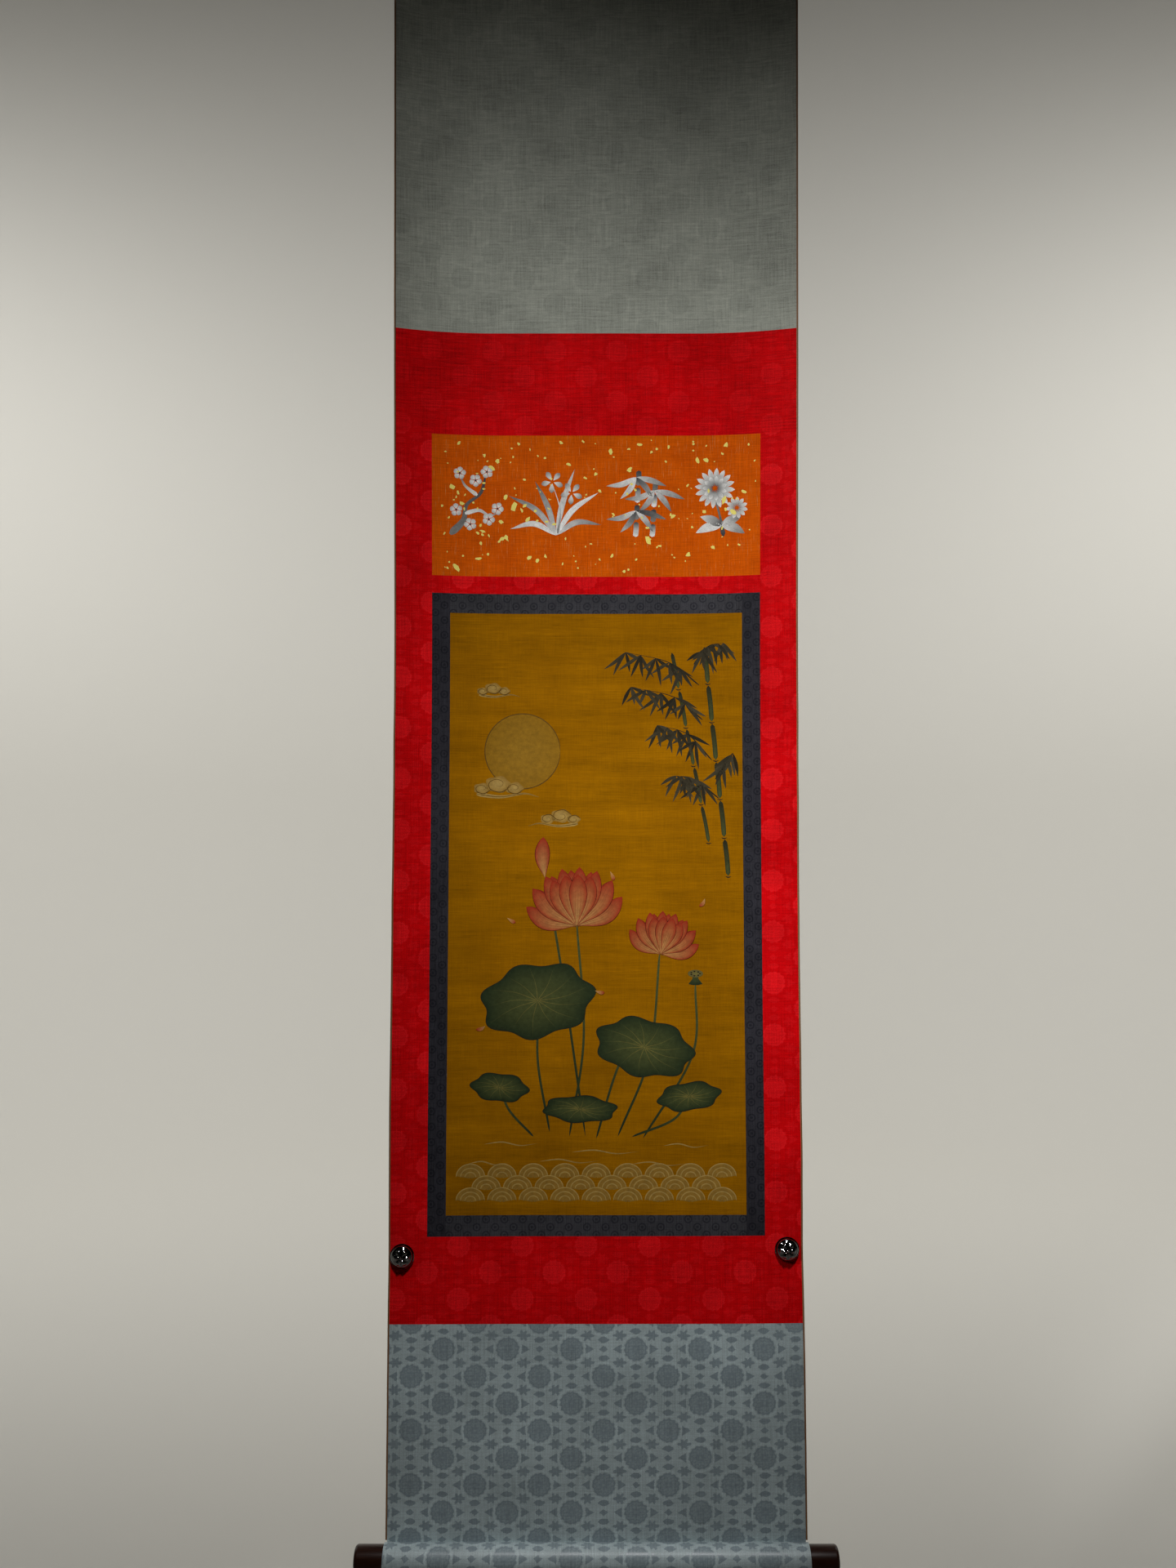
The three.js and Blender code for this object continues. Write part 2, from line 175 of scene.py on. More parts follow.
def evenly(start, end, step=GRID):
    """Evenly spaced values from start to end, about one step apart."""
    return np.linspace(start, end, max(2, round((end - start) / step) + 1))


def sheet_faces(shape, keep=None):
    """Quads of a grid of rows by columns, and a wall for every edge that only one quad has; the back
    grid's points are counted on after the front's. keep says which quads there are."""
    place = np.arange(shape[0] * shape[1]).reshape(shape)
    quads = np.stack([place[:-1, :-1], place[1:, :-1], place[1:, 1:], place[:-1, 1:]], -1).reshape(-1, 4)
    if keep is not None:
        quads = quads[keep.ravel()]
    edges = np.stack([quads, np.roll(quads, -1, axis=1)], -1).reshape(-1, 2)
    there, back_again = edges[:, 0] * place.size + edges[:, 1], edges[:, 1] * place.size + edges[:, 0]
    rim = edges[~np.isin(back_again, there)]
    return quads, np.stack([rim[:, 1], rim[:, 0], rim[:, 0] + place.size, rim[:, 1] + place.size], -1)


def meshed(name, points, faces, uvs, materials, finishes=0, smooth=True, pigment=None):
    """Object at the origin from arrays: points, faces, for each named uv layer a pair of metres for
    each point, each face's material number and smoothness, and a colour for each point."""
    mesh = bpy.data.meshes.new(name)
    mesh.from_pydata(points.tolist(), [], faces.tolist() if isinstance(faces, np.ndarray) else faces)
    corners = np.zeros(len(mesh.loops), np.int32)
    mesh.loops.foreach_get("vertex_index", corners)
    for layer, uv in uvs.items():
        mesh.uv_layers.new(name=layer).data.foreach_set("uv", uv[corners].astype(np.float32).ravel())
    if pigment is not None:
        colours = np.concatenate([pigment, np.ones((len(pigment), 1))], 1).astype(np.float32)
        attribute = mesh.color_attributes.new("pigment", "FLOAT_COLOR", "POINT")
        attribute.data.foreach_set("color", colours.ravel())
    for material in materials:
        mesh.materials.append(material)
    count = len(mesh.polygons)
    mesh.polygons.foreach_set("material_index", np.array(np.broadcast_to(finishes, count), np.int32))
    mesh.polygons.foreach_set("use_smooth", np.array(np.broadcast_to(smooth, count), bool))
    mesh.update()
    if smooth is not False:
        mesh.set_sharp_from_angle(angle=SHARP_ANGLE)
    piece = bpy.data.objects.new(name, mesh)
    bpy.context.scene.collection.objects.link(piece)
    return piece


def closed_sheet(name, front, back, uv, materials, keep=None, cut_edge=0):
    """Closed thin solid between a front and a back grid of points: the front quads, the same turned
    round for the back, and the walls. Front is material 0, back 1 and the walls cut_edge."""
    quads, walls = sheet_faces(front.shape[:2], keep)
    faces = np.concatenate([quads, quads[:, ::-1] + front[..., 0].size, walls])
    used, renumbered = np.unique(faces, return_inverse=True)
    points = np.concatenate([front.reshape(-1, 3), back.reshape(-1, 3)])[used]
    uv = np.concatenate([uv.reshape(-1, 2)] * 2)[used]
    lengths = [len(quads), len(quads), len(walls)]
    return meshed(name, points, renumbered.reshape(faces.shape), {"cloth": uv}, materials,
                  np.repeat([0, 1, cut_edge], lengths), np.repeat([True, True, False], lengths))


def bent_sheet(name, across, down, silk, keep=None):
    """Grid of places on the bent sheet, made a solid of the cloth's thickness backed with paper."""
    front, back = (sheet_point(across, down, lift) for lift in (CLOTH_THICK / 2, -CLOTH_THICK / 2))
    return closed_sheet(name, front, back, np.stack([across, down], -1), (silk, PAPER), keep)


def cloth_piece(name, edges, silk):
    """Rectangle of the sheet between its edges (left, right, top, bottom), a hair short of the
    piece below it and of the piece between it and the centre line."""
    left, right, top, bottom = edges
    columns = evenly(left + SEAM * (left > 0), right - SEAM * (right < 0))
    down, across = np.meshgrid(evenly(top, bottom - SEAM), columns, indexing="ij")
    return bent_sheet(name, across, down, silk)


def plug(tree, value, slot):
    """Link a strand to a node's slot, or set a number or a colour on the slot itself."""
    if isinstance(value, Strand):
        tree.links.new(value.socket, slot)
    else:
        slot.default_value = (*value, 1) if isinstance(value, tuple) else value


class Strand:
    """What one node of a material gives out: a number, a place or a colour. Arithmetic on a number
    adds a math node each time."""

    def __init__(self, tree, kind, slots=(), output=0, **settings):
        node = tree.nodes.new("ShaderNode" + kind)
        for key, value in settings.items():
            setattr(node, key, value)
        for slot, value in dict(slots).items():
            plug(tree, value, node.inputs[slot])
        self.tree, self.socket = tree, node.outputs[output]

    def math(self, operation, *others):
        return Strand(self.tree, "Math", enumerate((self, *others)), operation=operation)

    def __add__(self, other): return self.math("ADD", other)
    def __sub__(self, other): return self.math("SUBTRACT", other)
    def __mul__(self, other): return self.math("MULTIPLY", other)
    def __truediv__(self, other): return self.math("DIVIDE", other)
    def size(self): return self.math("ABSOLUTE")
    def sine(self): return self.math("SINE")
    def most(self, other): return self.math("MAXIMUM", other)
    def least(self, other): return self.math("MINIMUM", other)
    def part(self, axis): return Strand(self.tree, "SeparateXYZ", {0: self}, axis)

    __radd__ = __add__

    def wrapped(self, pitch):
        """Distance to the nearest multiple of pitch, with its sign."""
        return self.math("WRAP", pitch / 2, -pitch / 2)

    def under(self, limit, soft=0.35):
        """1 where the number is below limit, 0 above it, with a soft edge."""
        slots = {"Value": self, "From Min": limit - soft, "From Max": limit + soft, "To Min": 1, "To Max": 0}
        return Strand(self.tree, "MapRange", slots, interpolation_type="SMOOTHSTEP")


class Surface:
    """Material with one Principled shader, whose uniform values are set on its own sockets."""

    def __init__(self, name, roughness, specular=0.4, **uniform):
        self.material = bpy.data.materials.new(name)
        self.material.use_nodes = True
        self.tree = self.material.node_tree
        self.fill(Roughness=roughness, Specular_IOR_Level=specular, **uniform)

    def fill(self, **values):
        """Strands and uniform values into the shader's sockets, by their names."""
        sockets = self.tree.nodes["Principled BSDF"].inputs
        for name, value in values.items():
            plug(self.tree, value, sockets[name.replace("_", " ")])

    def uv(self, layer, axis):
        return Strand(self.tree, "UVMap", uv_map=layer).part(axis)

    def measured(self, shift=(0, 0)):
        """Let x and y be millimetres across and down the piece, from its own cloth uv."""
        self.x, self.y = (self.uv("cloth", axis) * 1000 - shift[axis] for axis in (0, 1))
        return self

    def noise(self, place, scale=1.0, detail=4, roughness=0.8):
        """Noise from 0 to 1 at a place, which is one strand or a tuple of three measures."""
        if isinstance(place, tuple):
            place = Strand(self.tree, "CombineXYZ", enumerate(place))
        slots = {"Vector": place, "Scale": scale, "Detail": detail, "Roughness": roughness}
        return Strand(self.tree, "TexNoise", slots)

    def threads(self, across, down, depth=0.0, detail=4, roughness=0.8):
        """Noise drawn out along threads by its own scale across and down."""
        return self.noise((self.x * across, self.y * down, depth), 1.0, detail, roughness)

    def mottle(self, scale, depth=0.0, detail=3, roughness=0.5):
        """Noise of one scale both ways."""
        return self.noise((self.x, self.y, depth), scale, detail, roughness)

    def blend(self, factor, first, second, way="MIX"):
        """Colour between two by the factor, or the product of the two."""
        slots = {0: factor, 6: first, 7: second}
        return Strand(self.tree, "Mix", slots, 2, data_type="RGBA", blend_type=way)

    def shaded(self, colour, *noises):
        """Colour times 1 plus each noise's distance from its middle times its weight."""
        light = sum((noise - 0.5) * weight for noise, weight in noises) + 1.0
        grey = Strand(self.tree, "CombineXYZ", enumerate([light] * 3))
        return self.blend(1.0, colour, grey, "MULTIPLY")

    def finish(self, relief, depth, **values):
        """Bump of the relief strand, depth metres deep, and the other values into the shader."""
        bump = Strand(self.tree, "Bump", {"Strength": 1.0, "Distance": depth, "Height": relief})
        self.fill(Normal=bump, **values)
        return self.material


# Figured silk's repeat in millimetres: roundels in a half-drop, with small figures between them
ROUNDEL_ACROSS, ROUNDEL_DOWN = 70.5, 57.6
ROUNDEL_RADIUS, INNER_RING, OUTER_RING = 12.65, 11.5, 14.9


def nearest_motif(across, down, pitch_across, pitch_down):
    """The two measures from the nearest motif of a half-drop repeat: the nearer of the places
    wrapped on its even rows and on its odd rows."""
    even_x, even_y = across.wrapped(pitch_across), down.wrapped(pitch_down)
    odd_x, odd_y = (across + pitch_across / 2).wrapped(pitch_across), (down + pitch_down / 2).wrapped(pitch_down)
    nearer = (even_x * even_x + even_y * even_y).math("LESS_THAN", odd_x * odd_x + odd_y * odd_y)
    return odd_x + (even_x - odd_x) * nearer, odd_y + (even_y - odd_y) * nearer


def roundel_figures(across, down, small):
    """Masks of the repeat's figures and of the pale ring round each roundel. From a roundel's
    centre: lenses above and below, a fan on each side, a lozenge further up and down, and a
    six-lobed blossom at each quarter of the repeat. small is how strongly the small ones show."""
    x, y = nearest_motif(across, down, ROUNDEL_ACROSS, ROUNDEL_DOWN)
    ax, ay = x.size(), y.size()
    radius = (x * x + y * y).math("SQRT")
    turn = y.math("ARCTAN2", x)
    rim = (radius - INNER_RING).size().under(0.9)
    flower = (radius - (turn * 8).math("COSINE") * 1.1).under(5.2) - radius.under(1.4)
    scroll = ((turn * 12).sine() * 1.1 + 8.4 - radius).size().under(0.7)
    edge = radius + (turn * 14).sine() * 0.7
    roundel = edge.under(ROUNDEL_RADIUS, 0.8) * (rim * 0.35 + flower * 0.22 + scroll * 0.25 + 0.62).least(1.0)
    lens = (ax * ax * 0.076 + (ay - 19).size()).under(3.3)
    fan = (ay + (ax - 24.8) * 0.56).under(0) * (ax * -1).under(-15.3)
    lozenge = (ax / 4.8 + (ay - ROUNDEL_DOWN / 2).size() / 3.7).under(1, 0.08)
    bx, by = ax - ROUNDEL_ACROSS / 4, ay - ROUNDEL_DOWN / 4
    lobes = (by.math("ARCTAN2", bx) * 6).math("COSINE")
    blossom = ((bx * bx * 0.62 + by * by).math("SQRT") - lobes * 1.3).under(4.7)
    others = lens.most(fan).most(lozenge).most(blossom * 0.9) * small
    return roundel.most(others), (radius - OUTER_RING).size().under(0.9, 0.9)


def figured_silk(name, ground, figure, ring, shift, strength, slub, small=0.8, gloss=0.12, roughness=0.6):
    """Silk with the roundel repeat: figure colour over ground by the mask, ragged by a fine noise,
    with long vertical threads, short cross slubs and slow fading over the whole cloth."""
    silk = Surface(name, roughness, gloss).measured(shift)
    ragged = silk.mottle(0.30, roughness=0.7) - 0.5
    figures, rings = roundel_figures(silk.x + ragged * 4.2, silk.y - ragged * 3.6, small)
    warp, weft = silk.threads(0.7, 0.022), silk.threads(0.030, 0.55, 3.0)
    speck, fading = silk.threads(1.7, 0.8, 9.0, 2, 0.5), silk.mottle(0.011, 5.0)
    worn = figures * (speck * 0.9 + fading * 0.9 - 0.03).least(1.0) * strength
    colour = silk.blend(rings * 0.22 * strength, silk.blend(worn, ground, figure), ring)
    return silk.finish(warp * 0.5 + weft * 0.5, 0.00012,
                       Base_Color=silk.shaded(colour, (warp, 1.0), (weft, slub), (speck, 0.7), (fading, 0.7)),
                       Roughness=figures * -0.10 * strength + warp * 0.08 + roughness - 0.04)


def lining_paper():
    """Back of every piece: several layers of pasted white paper, slightly yellowed, with fibres."""
    paper = Surface("lining_paper", 0.85, 0.2).measured()
    fibre, cloud = paper.threads(0.5, 0.06, roughness=0.65), paper.mottle(0.02, 2.0)
    colour = paper.blend(fibre * 0.6 + cloud * 0.5 - 0.1, (0.62, 0.57, 0.46), (0.74, 0.70, 0.60))
    return paper.finish(fibre, 0.0001, Base_Color=colour)


def stands_for(piece, node):
    """The piece rides on the one body, in its CAD node's place."""
    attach(piece, "root")
    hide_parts(node)


def hung(piece, node, edges):
    """The piece stands for its CAD node; the size it was cut is worked out but not used."""
    left, right, top, bottom = edges
    stands_for(piece, node)
    right - left
    bottom - top


def panel(name, node, edges, silk):
    """Plain rectangle of the sheet, cut and hung."""
    piece = cloth_piece(name, edges, silk)
    hung(piece, node, edges)
    return piece


PAPER = lining_paper()
# Painted light: the heaven's copy of the grey-blue silk is tinted warmer and yellower than the earth's, for the
# warm light that falls on the top of the cloth.
HEAVEN_SILK_PAINTED_WARM_LIGHT = figured_silk("heaven_figured_silk_painted_warm_light", (0.42, 0.435, 0.37), (0.325, 0.34, 0.29), (0.48, 0.50, 0.43),
                           (-12, 20), 0.55, 1.2, small=0.5)
FULL_WIDTH = (-PANEL_HALF, PANEL_HALF)
heaven = panel("silk_heaven", "heaven_panel", (*FULL_WIDTH, 0, HEAVEN_BOTTOM), HEAVEN_SILK_PAINTED_WARM_LIGHT)

# The red frame: one full-width piece of red figured silk above the picture and one below it, a
# narrow strip down each side and a short strip between the two panels. Cut from one cloth and
# pasted edge to edge. The lower piece has a small hole at each end for a stud's shank.
GOLD_TOP = 0.5445
GOLD_BOTTOM = 0.7055
BORDER_TOP = 0.7255
PICTURE_TOP = 0.748
PICTURE_BOTTOM = 1.4235
BORDER_BOTTOM = 1.4465
RED_BOTTOM = 1.5405
MIDDLE_HALF = 0.1875
PICTURE_HALF = 0.167
HOLES = [(-0.2148, 1.467), (0.2117, 1.461)]
HOLE_RADIUS, HOLE_STEPS = 0.003, 9
MIDDLE_WIDTH = (-MIDDLE_HALF, MIDDLE_HALF)
RED, RED_REPEAT = (0.66, 0.002, 0.004), (-46.7, 506)

RED_SILK = figured_silk("red_figured_silk", RED, (0.86, 0.012, 0.016), (0.58, 0.002, 0.004), RED_REPEAT,
                        0.85, 1.1, small=0.4, gloss=0.03)
# Painted sheen: the top piece gets a copy of the red silk whose pale figures show less and whose slubs show more
# than on the other red pieces, for how their shine falls on silk cut crossways.
RED_TOP_SILK_PAINTED_SHEEN = figured_silk("red_figured_silk_crossways_painted_sheen", RED, (0.80, 0.009, 0.013), (0.56, 0.002, 0.004),
                            RED_REPEAT, 0.55, 1.6, small=0.45, gloss=0.03)
red_top = panel("silk_red_top", "red_top_panel", (*FULL_WIDTH, HEAVEN_BOTTOM, GOLD_TOP),
                RED_TOP_SILK_PAINTED_SHEEN)
for side, edges in (("left", (-PANEL_HALF, -MIDDLE_HALF)), ("right", (MIDDLE_HALF, PANEL_HALF))):
    panel(f"silk_red_side_{side}", f"red_side_{side}", (*edges, GOLD_TOP, BORDER_BOTTOM),
          RED_SILK)
red_cross = panel("silk_red_cross", "red_cross_strip", (*MIDDLE_WIDTH, GOLD_BOTTOM, BORDER_TOP),
                  RED_SILK)


def pierced_piece(name, edges, silk):
    """Rectangle of the sheet whose quads inside a hole are left out and whose points round the hole
    are pushed out to its circle: point = centre + (point - centre) * radius / distance."""
    columns, rows = evenly(edges[0], edges[1]), evenly(edges[2], edges[3] - SEAM)
    steps = HOLE_RADIUS * np.linspace(-1, 1, HOLE_STEPS)
    for hole_across, hole_down in HOLES:
        columns, rows = np.union1d(columns, hole_across + steps), np.union1d(rows, hole_down + steps)
    down, across = np.meshgrid(rows, columns, indexing="ij")
    keep = np.ones((len(rows) - 1, len(columns) - 1), bool)
    for hole_across, hole_down in HOLES:
        away = np.hypot(across - hole_across, down - hole_down)
        inside = (away[:-1, :-1] + away[1:, 1:] + away[1:, :-1] + away[:-1, 1:]) / 4 <= HOLE_RADIUS
        keep &= ~inside
        rim = np.zeros(away.shape, bool)
        for below in (slice(1, None), slice(None, -1)):
            for beside in (slice(1, None), slice(None, -1)):
                rim[below, beside] |= inside
        scale = np.where(rim, HOLE_RADIUS / np.maximum(away, HOLE_RADIUS * 0.2), 1)
        across = hole_across + (across - hole_across) * scale
        down = hole_down + (down - hole_down) * scale
    return bent_sheet(name, across, down, silk, keep)


RED_FOOT = (*FULL_WIDTH, BORDER_BOTTOM, RED_BOTTOM)
red_bottom = pierced_piece("silk_red_bottom", RED_FOOT, RED_SILK)
hung(red_bottom, "red_bottom_panel", RED_FOOT)

# The gold-fleck panel: orange silk above the picture, brushed with size and sprinkled with torn
# gold leaf, then painted with four sprigs in silver and grey ink. Pasted between the red pieces.
GOLD_EDGES = (*MIDDLE_WIDTH, GOLD_TOP, GOLD_BOTTOM)
FLECKS, FLECK_CORNERS, FLECK_SIZE, FLECK_RISE, FLECK_MARGIN = 165, 8, 0.00105, 0.00009, 0.005
SPRIG_MIDDLE = 0.622


def orange_silk():
    """Thin orange silk: patchy dye, fine weave, and paler hair-thin scratches down it."""
    silk = Surface("orange_dyed_silk", 0.6, 0.02).measured()
    warp, weft, patches = silk.threads(0.8, 0.025), silk.threads(0.04, 0.7, 3.0), silk.mottle(0.035, 4.0, 4)
    scratched = (silk.threads(1.3, 0.035, 8.0, roughness=0.7) * -1).under(-0.63, 0.03)
    colour = silk.blend(patches * 1.4 - 0.2, (0.60, 0.080, 0.001), (0.80, 0.128, 0.002))
    colour = silk.blend(scratched * 0.5, colour, (0.85, 0.40, 0.12))
    return silk.finish(warp * 0.5 + weft * 0.5, 0.00008, Roughness=warp * 0.12 + 0.56,
                       Base_Color=silk.shaded(colour, (warp, 1.0), (weft, 1.0)))


def gold_leaf():
    """Beaten gold: bright yellow, slightly crumpled."""
    leaf = Surface("torn_gold_leaf", 0.42, 0.7).measured()
    crumple = leaf.mottle(1.1, 1.0)
    return leaf.finish(crumple, 0.00015, Base_Color=leaf.blend(crumple, (1.0, 0.90, 0.24), (1.0, 0.83, 0.14)))


def turned(x, y, turn):
    """(x, y) turned about the origin: x * cos - y * sin and x * sin + y * cos."""
    return np.stack([x * np.cos(turn) - y * np.sin(turn), x * np.sin(turn) + y * np.cos(turn)], -1)


def gold_flecks():
    """Torn flecks as closed eight-cornered prisms. A corner is the fleck's centre plus its random
    radius turned by its angle, drawn out along the fleck's own direction."""
    draw, one_each = np.random.default_rng(11), (FLECKS, 1)
    across = draw.uniform(-MIDDLE_HALF + FLECK_MARGIN, MIDDLE_HALF - FLECK_MARGIN, one_each)
    down = draw.uniform(GOLD_TOP + FLECK_MARGIN, GOLD_BOTTOM - FLECK_MARGIN, one_each)
    size = FLECK_SIZE * np.exp(draw.normal(0.1, 0.5, one_each)).clip(0.6, 3.0)
    radius = size * draw.uniform(0.55, 1.25, (FLECKS, FLECK_CORNERS))
    long, lean = draw.uniform(1.0, 2.1, one_each), draw.uniform(0, math.pi, one_each)
    turn = np.linspace(0, 2 * math.pi, FLECK_CORNERS, endpoint=False)
    centre = np.stack([across, down], -1)
    corners = centre + turned(radius * np.cos(turn) * long, radius * np.sin(turn), lean)
    spots = np.concatenate([centre, corners], 1)
    top, sunk = (sheet_point(spots[..., 0], spots[..., 1], CLOTH_THICK / 2 + rise)
                 for rise in (FLECK_RISE, -FLECK_RISE))
    k = np.arange(FLECK_CORNERS) + 1
    onward, under = np.roll(k, -1), FLECK_CORNERS + 1
    fan = np.stack([0 * k, onward, k], -1)
    walls = np.stack([k, onward, onward + under, k + under], -1)
    shift = 2 * under * np.arange(FLECKS)[:, None, None]
    faces = [face for kind in (fan, fan[:, ::-1] + under, walls)
             for face in (kind + shift).reshape(-1, kind.shape[1]).tolist()]
    uv = np.concatenate([spots, spots], 1).reshape(-1, 2)
    return meshed("gold_leaf_flecks", np.concatenate([top, sunk], 1).reshape(-1, 3), faces, {"cloth": uv},
                  (GOLD_LEAF,), smooth=False)


ORANGE_SILK, GOLD_LEAF = orange_silk(), gold_leaf()
gold = cloth_piece("silk_gold_fleck", GOLD_EDGES, ORANGE_SILK)
flecks = gold_flecks()
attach(flecks, "root")

# Paint for this panel and the picture, in millimetres: each brush mark is a thin closed patch whose
# top lies a hair above the silk and whose underside is sunk in it. PRESS is how its width runs.
PAINT_RISE, PAINT_LAYER, PAINT_SUNK = 0.00005, 0.000006, 0.00012
PRESS = {
    "full": lambda t: 1 + 0 * t,
    "even": lambda t: np.sqrt(np.clip(1 - (2 * t - 1) ** 10, 0, 1)),
    "leaf": lambda t: np.sin(math.pi * t ** 0.85) ** 0.85,
    "petal": lambda t: np.sin(math.pi * t ** 1.35) ** 0.75,
    "brush": lambda t: (1 - t ** 5) * (0.72 + 0.28 * np.cos(5.5 * t)) * np.clip(t * 12 + 0.35, 0, 1),
    "taper": lambda t: (1 - 0.9 * t) * np.clip(t * 10 + 0.4, 0, 1),
}


def smooth_line(points, count):
    """Catmull-Rom curve through the points (across, down), at count even steps of its parameter."""
    points = np.array(points, float)
    points = np.concatenate([[2 * points[0] - points[1]], points, [2 * points[-1] - points[-2]]])
    t = np.linspace(0, len(points) - 3, count)
    i = np.minimum(t.astype(int), len(points) - 4)
    f = (t - i)[:, None]
    p, q, r, s = points[i], points[i + 1], points[i + 2], points[i + 3]
    return 0.5 * (2 * q + (r - p) * f + (2 * p - 5 * q + 4 * r - s) * f ** 2 + (3 * q - p - 3 * r + s) * f ** 3)


def mark(points, width, press, root, tip=None, edge=None, level=0, count=14, columns=3):
    """Brush mark along a line: line + normal * half the width * press(t) * c, with c from -1 to 1.
    Colour goes from root to tip along it, and to edge by the square of c."""
    line = smooth_line(points, count)
    ahead = np.gradient(line, axis=0)
    normal = np.stack([-ahead[:, 1], ahead[:, 0]], -1) / np.maximum(np.hypot(*ahead.T), 1e-9)[:, None]
    t, c = np.linspace(0, 1, count), np.linspace(-1, 1, columns)
    half = np.maximum(width / 2 * PRESS[press](t), 0.03)
    spot = line[:, None] + normal[:, None] * (half[:, None] * c)[..., None]
    root, tip = np.array(root), np.array(root if tip is None else tip)
    pigment = root + (tip - root) * t[:, None, None] + 0 * c[:, None]
    if edge is not None:
        pigment = pigment + (np.array(edge) - pigment) * (c ** 2)[:, None] * 0.8
    length = np.concatenate([[0], np.cumsum(np.hypot(*np.diff(line, axis=0).T))])
    along = np.stack([length[:, None] + 0 * c, half[:, None] * c], -1)
    return {"spot": spot, "pigment": pigment, "along": along, "level": level}


def wash(centre, size, inner, outer=None, turn=0.0, lobes=0, depth=0.0, phase=0.0, level=0, steps=13):
    """Rounded pool of colour: the square -1 to 1 bent to a disc by x = u * root(1 - v*v/2), scaled
    by 1 + depth * cos(lobes * angle + phase), stretched to size, turned and put at the centre."""
    u, v = np.meshgrid(np.linspace(-1, 1, steps), np.linspace(-1, 1, steps))
    x, y = u * np.sqrt(1 - v * v / 2), v * np.sqrt(1 - u * u / 2)
    radius = np.hypot(x, y)
    grow = 1 + depth * np.cos(lobes * np.arctan2(y, x) + phase) * radius ** 2
    x, y = x * grow * size[0], y * grow * size[1]
    inner, outer = np.array(inner), np.array(inner if outer is None else outer)
    return {"spot": centre + turned(x, y, turn), "along": np.stack([x, y], -1), "level": level,
            "pigment": inner + (outer - inner) * (radius ** 1.5)[..., None]}


def painted(name, marks, top, material):
    """All marks of one subject joined in one mesh. Marks are in millimetres, across from the centre
    line and down from top; each level lies a hair above the one below it, and undersides are sunk
    in the silk."""
    points, faces, cloth, along, pigment, start = [], [], [], [], [], 0
    for one in marks:
        across, down = one["spot"][..., 0] / 1000, one["spot"][..., 1] / 1000 + top
        rise = CLOTH_THICK / 2 + PAINT_RISE + PAINT_LAYER * one["level"]
        upper = sheet_point(across, down, rise).reshape(-1, 3)
        lower = sheet_point(across, down, CLOTH_THICK / 2 - PAINT_SUNK).reshape(-1, 3)
        quads, walls = sheet_faces(across.shape)
        if mirrored(across, down):
            quads, walls = quads[:, ::-1], walls[:, ::-1]
        faces.append(np.concatenate([quads, quads[:, ::-1] + across.size, walls]) + start)
        points += [upper, lower]
        cloth += [np.stack([across, down], -1).reshape(-1, 2)] * 2
        along += [one["along"].reshape(-1, 2)] * 2
        pigment += [one["pigment"].reshape(-1, 3)] * 2
        start += 2 * across.size
    uvs = {"cloth": np.concatenate(cloth), "stroke": np.concatenate(along)}
    piece = meshed(name, np.concatenate(points), np.concatenate(faces), uvs, (material,),
                   pigment=np.concatenate(pigment))
    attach(piece, "root")
    return piece


def mirrored(across, down):
    """True where a patch's rows and columns run the other way round from the sheet's."""
    row, column = (0, across.shape[1] // 2), (across.shape[0] // 2, 0)
    middle = (across.shape[0] // 2, across.shape[1] // 2)
    r = across[middle] - across[row], down[middle] - down[row]
    c = across[middle] - across[column], down[middle] - down[column]
    return r[0] * c[1] - r[1] * c[0] > 0


def ink_material(name, streak, roughness):
    """Colour of each mark from its pigment attribute, dragged out into streaks along the stroke and
    let through to the weave."""
    ink = Surface(name, roughness, 0.10).measured()
    drag = ink.noise((ink.uv("stroke", 0) * 0.05, ink.uv("stroke", 1) * 2.4, 0.0), 1.0, 3, 0.7)
    weave, patchy = ink.threads(2.6, 0.5, 2.0, 3, 0.6), ink.mottle(0.25, 6.0)
    pigment = Strand(ink.tree, "VertexColor", layer_name="pigment")
    return ink.finish(weave, 0.00008, Roughness=weave * 0.15 + roughness,
                      Base_Color=ink.shaded(pigment, (drag, streak), (weave, 0.5), (patchy, 0.7)))


SILVER, ASH, SOOT = (0.95, 0.94, 0.90), (0.26, 0.25, 0.235), (0.050, 0.050, 0.054)
SILVER_INK = ink_material("silver_and_grey_ink", 1.5, 0.5)
draw = np.random.default_rng(5)


def ink_pair():
    """Two inks for one mark: mostly silver running to ash, now and then starting in soot."""
    mix = draw.uniform(0, 1, 2)
    first = np.array(SOOT) if mix[0] < 0.28 else np.array(SILVER) * (0.75 + 0.25 * mix[1])
    second = np.array(ASH if mix[1] < 0.6 else SILVER) * draw.uniform(0.5, 1.0)
    return first, second


def upward(lean):
    """One step at so many degrees from upright."""
    return np.array([math.sin(math.radians(lean)), -math.cos(math.radians(lean))])


def arc(centre, reach, turn, squash=1.0):
    """Places round a centre: centre + reach * (cosine of turn, squash * sine of turn)."""
    return centre + np.asarray(reach)[..., None] * np.stack([np.cos(turn), np.sin(turn) * squash], -1)


def blades(root, leans, reaches, width, level, droop):
    """Leaves from one root: each goes its reach at its lean from upright and droops half-way."""
    marks = []
    for lean, reach in zip(leans, reaches):
        middle = root + upward(lean) * reach / 2
        end = middle + upward(lean * (1 + droop)) * reach / 2
        marks.append(mark([root, middle, end], width, "leaf", *ink_pair(), level=level))
    return marks


def rosette(centre, count, petal, width, level, first, second, turn):
    """Petals set evenly round a centre."""
    return [mark([arc(centre, petal * share, angle) for share in (0.15, 0.6, 1.0)], width, "petal", first, second,
                 level=level, count=8) for angle in np.arange(count) * 2 * math.pi / count + turn]


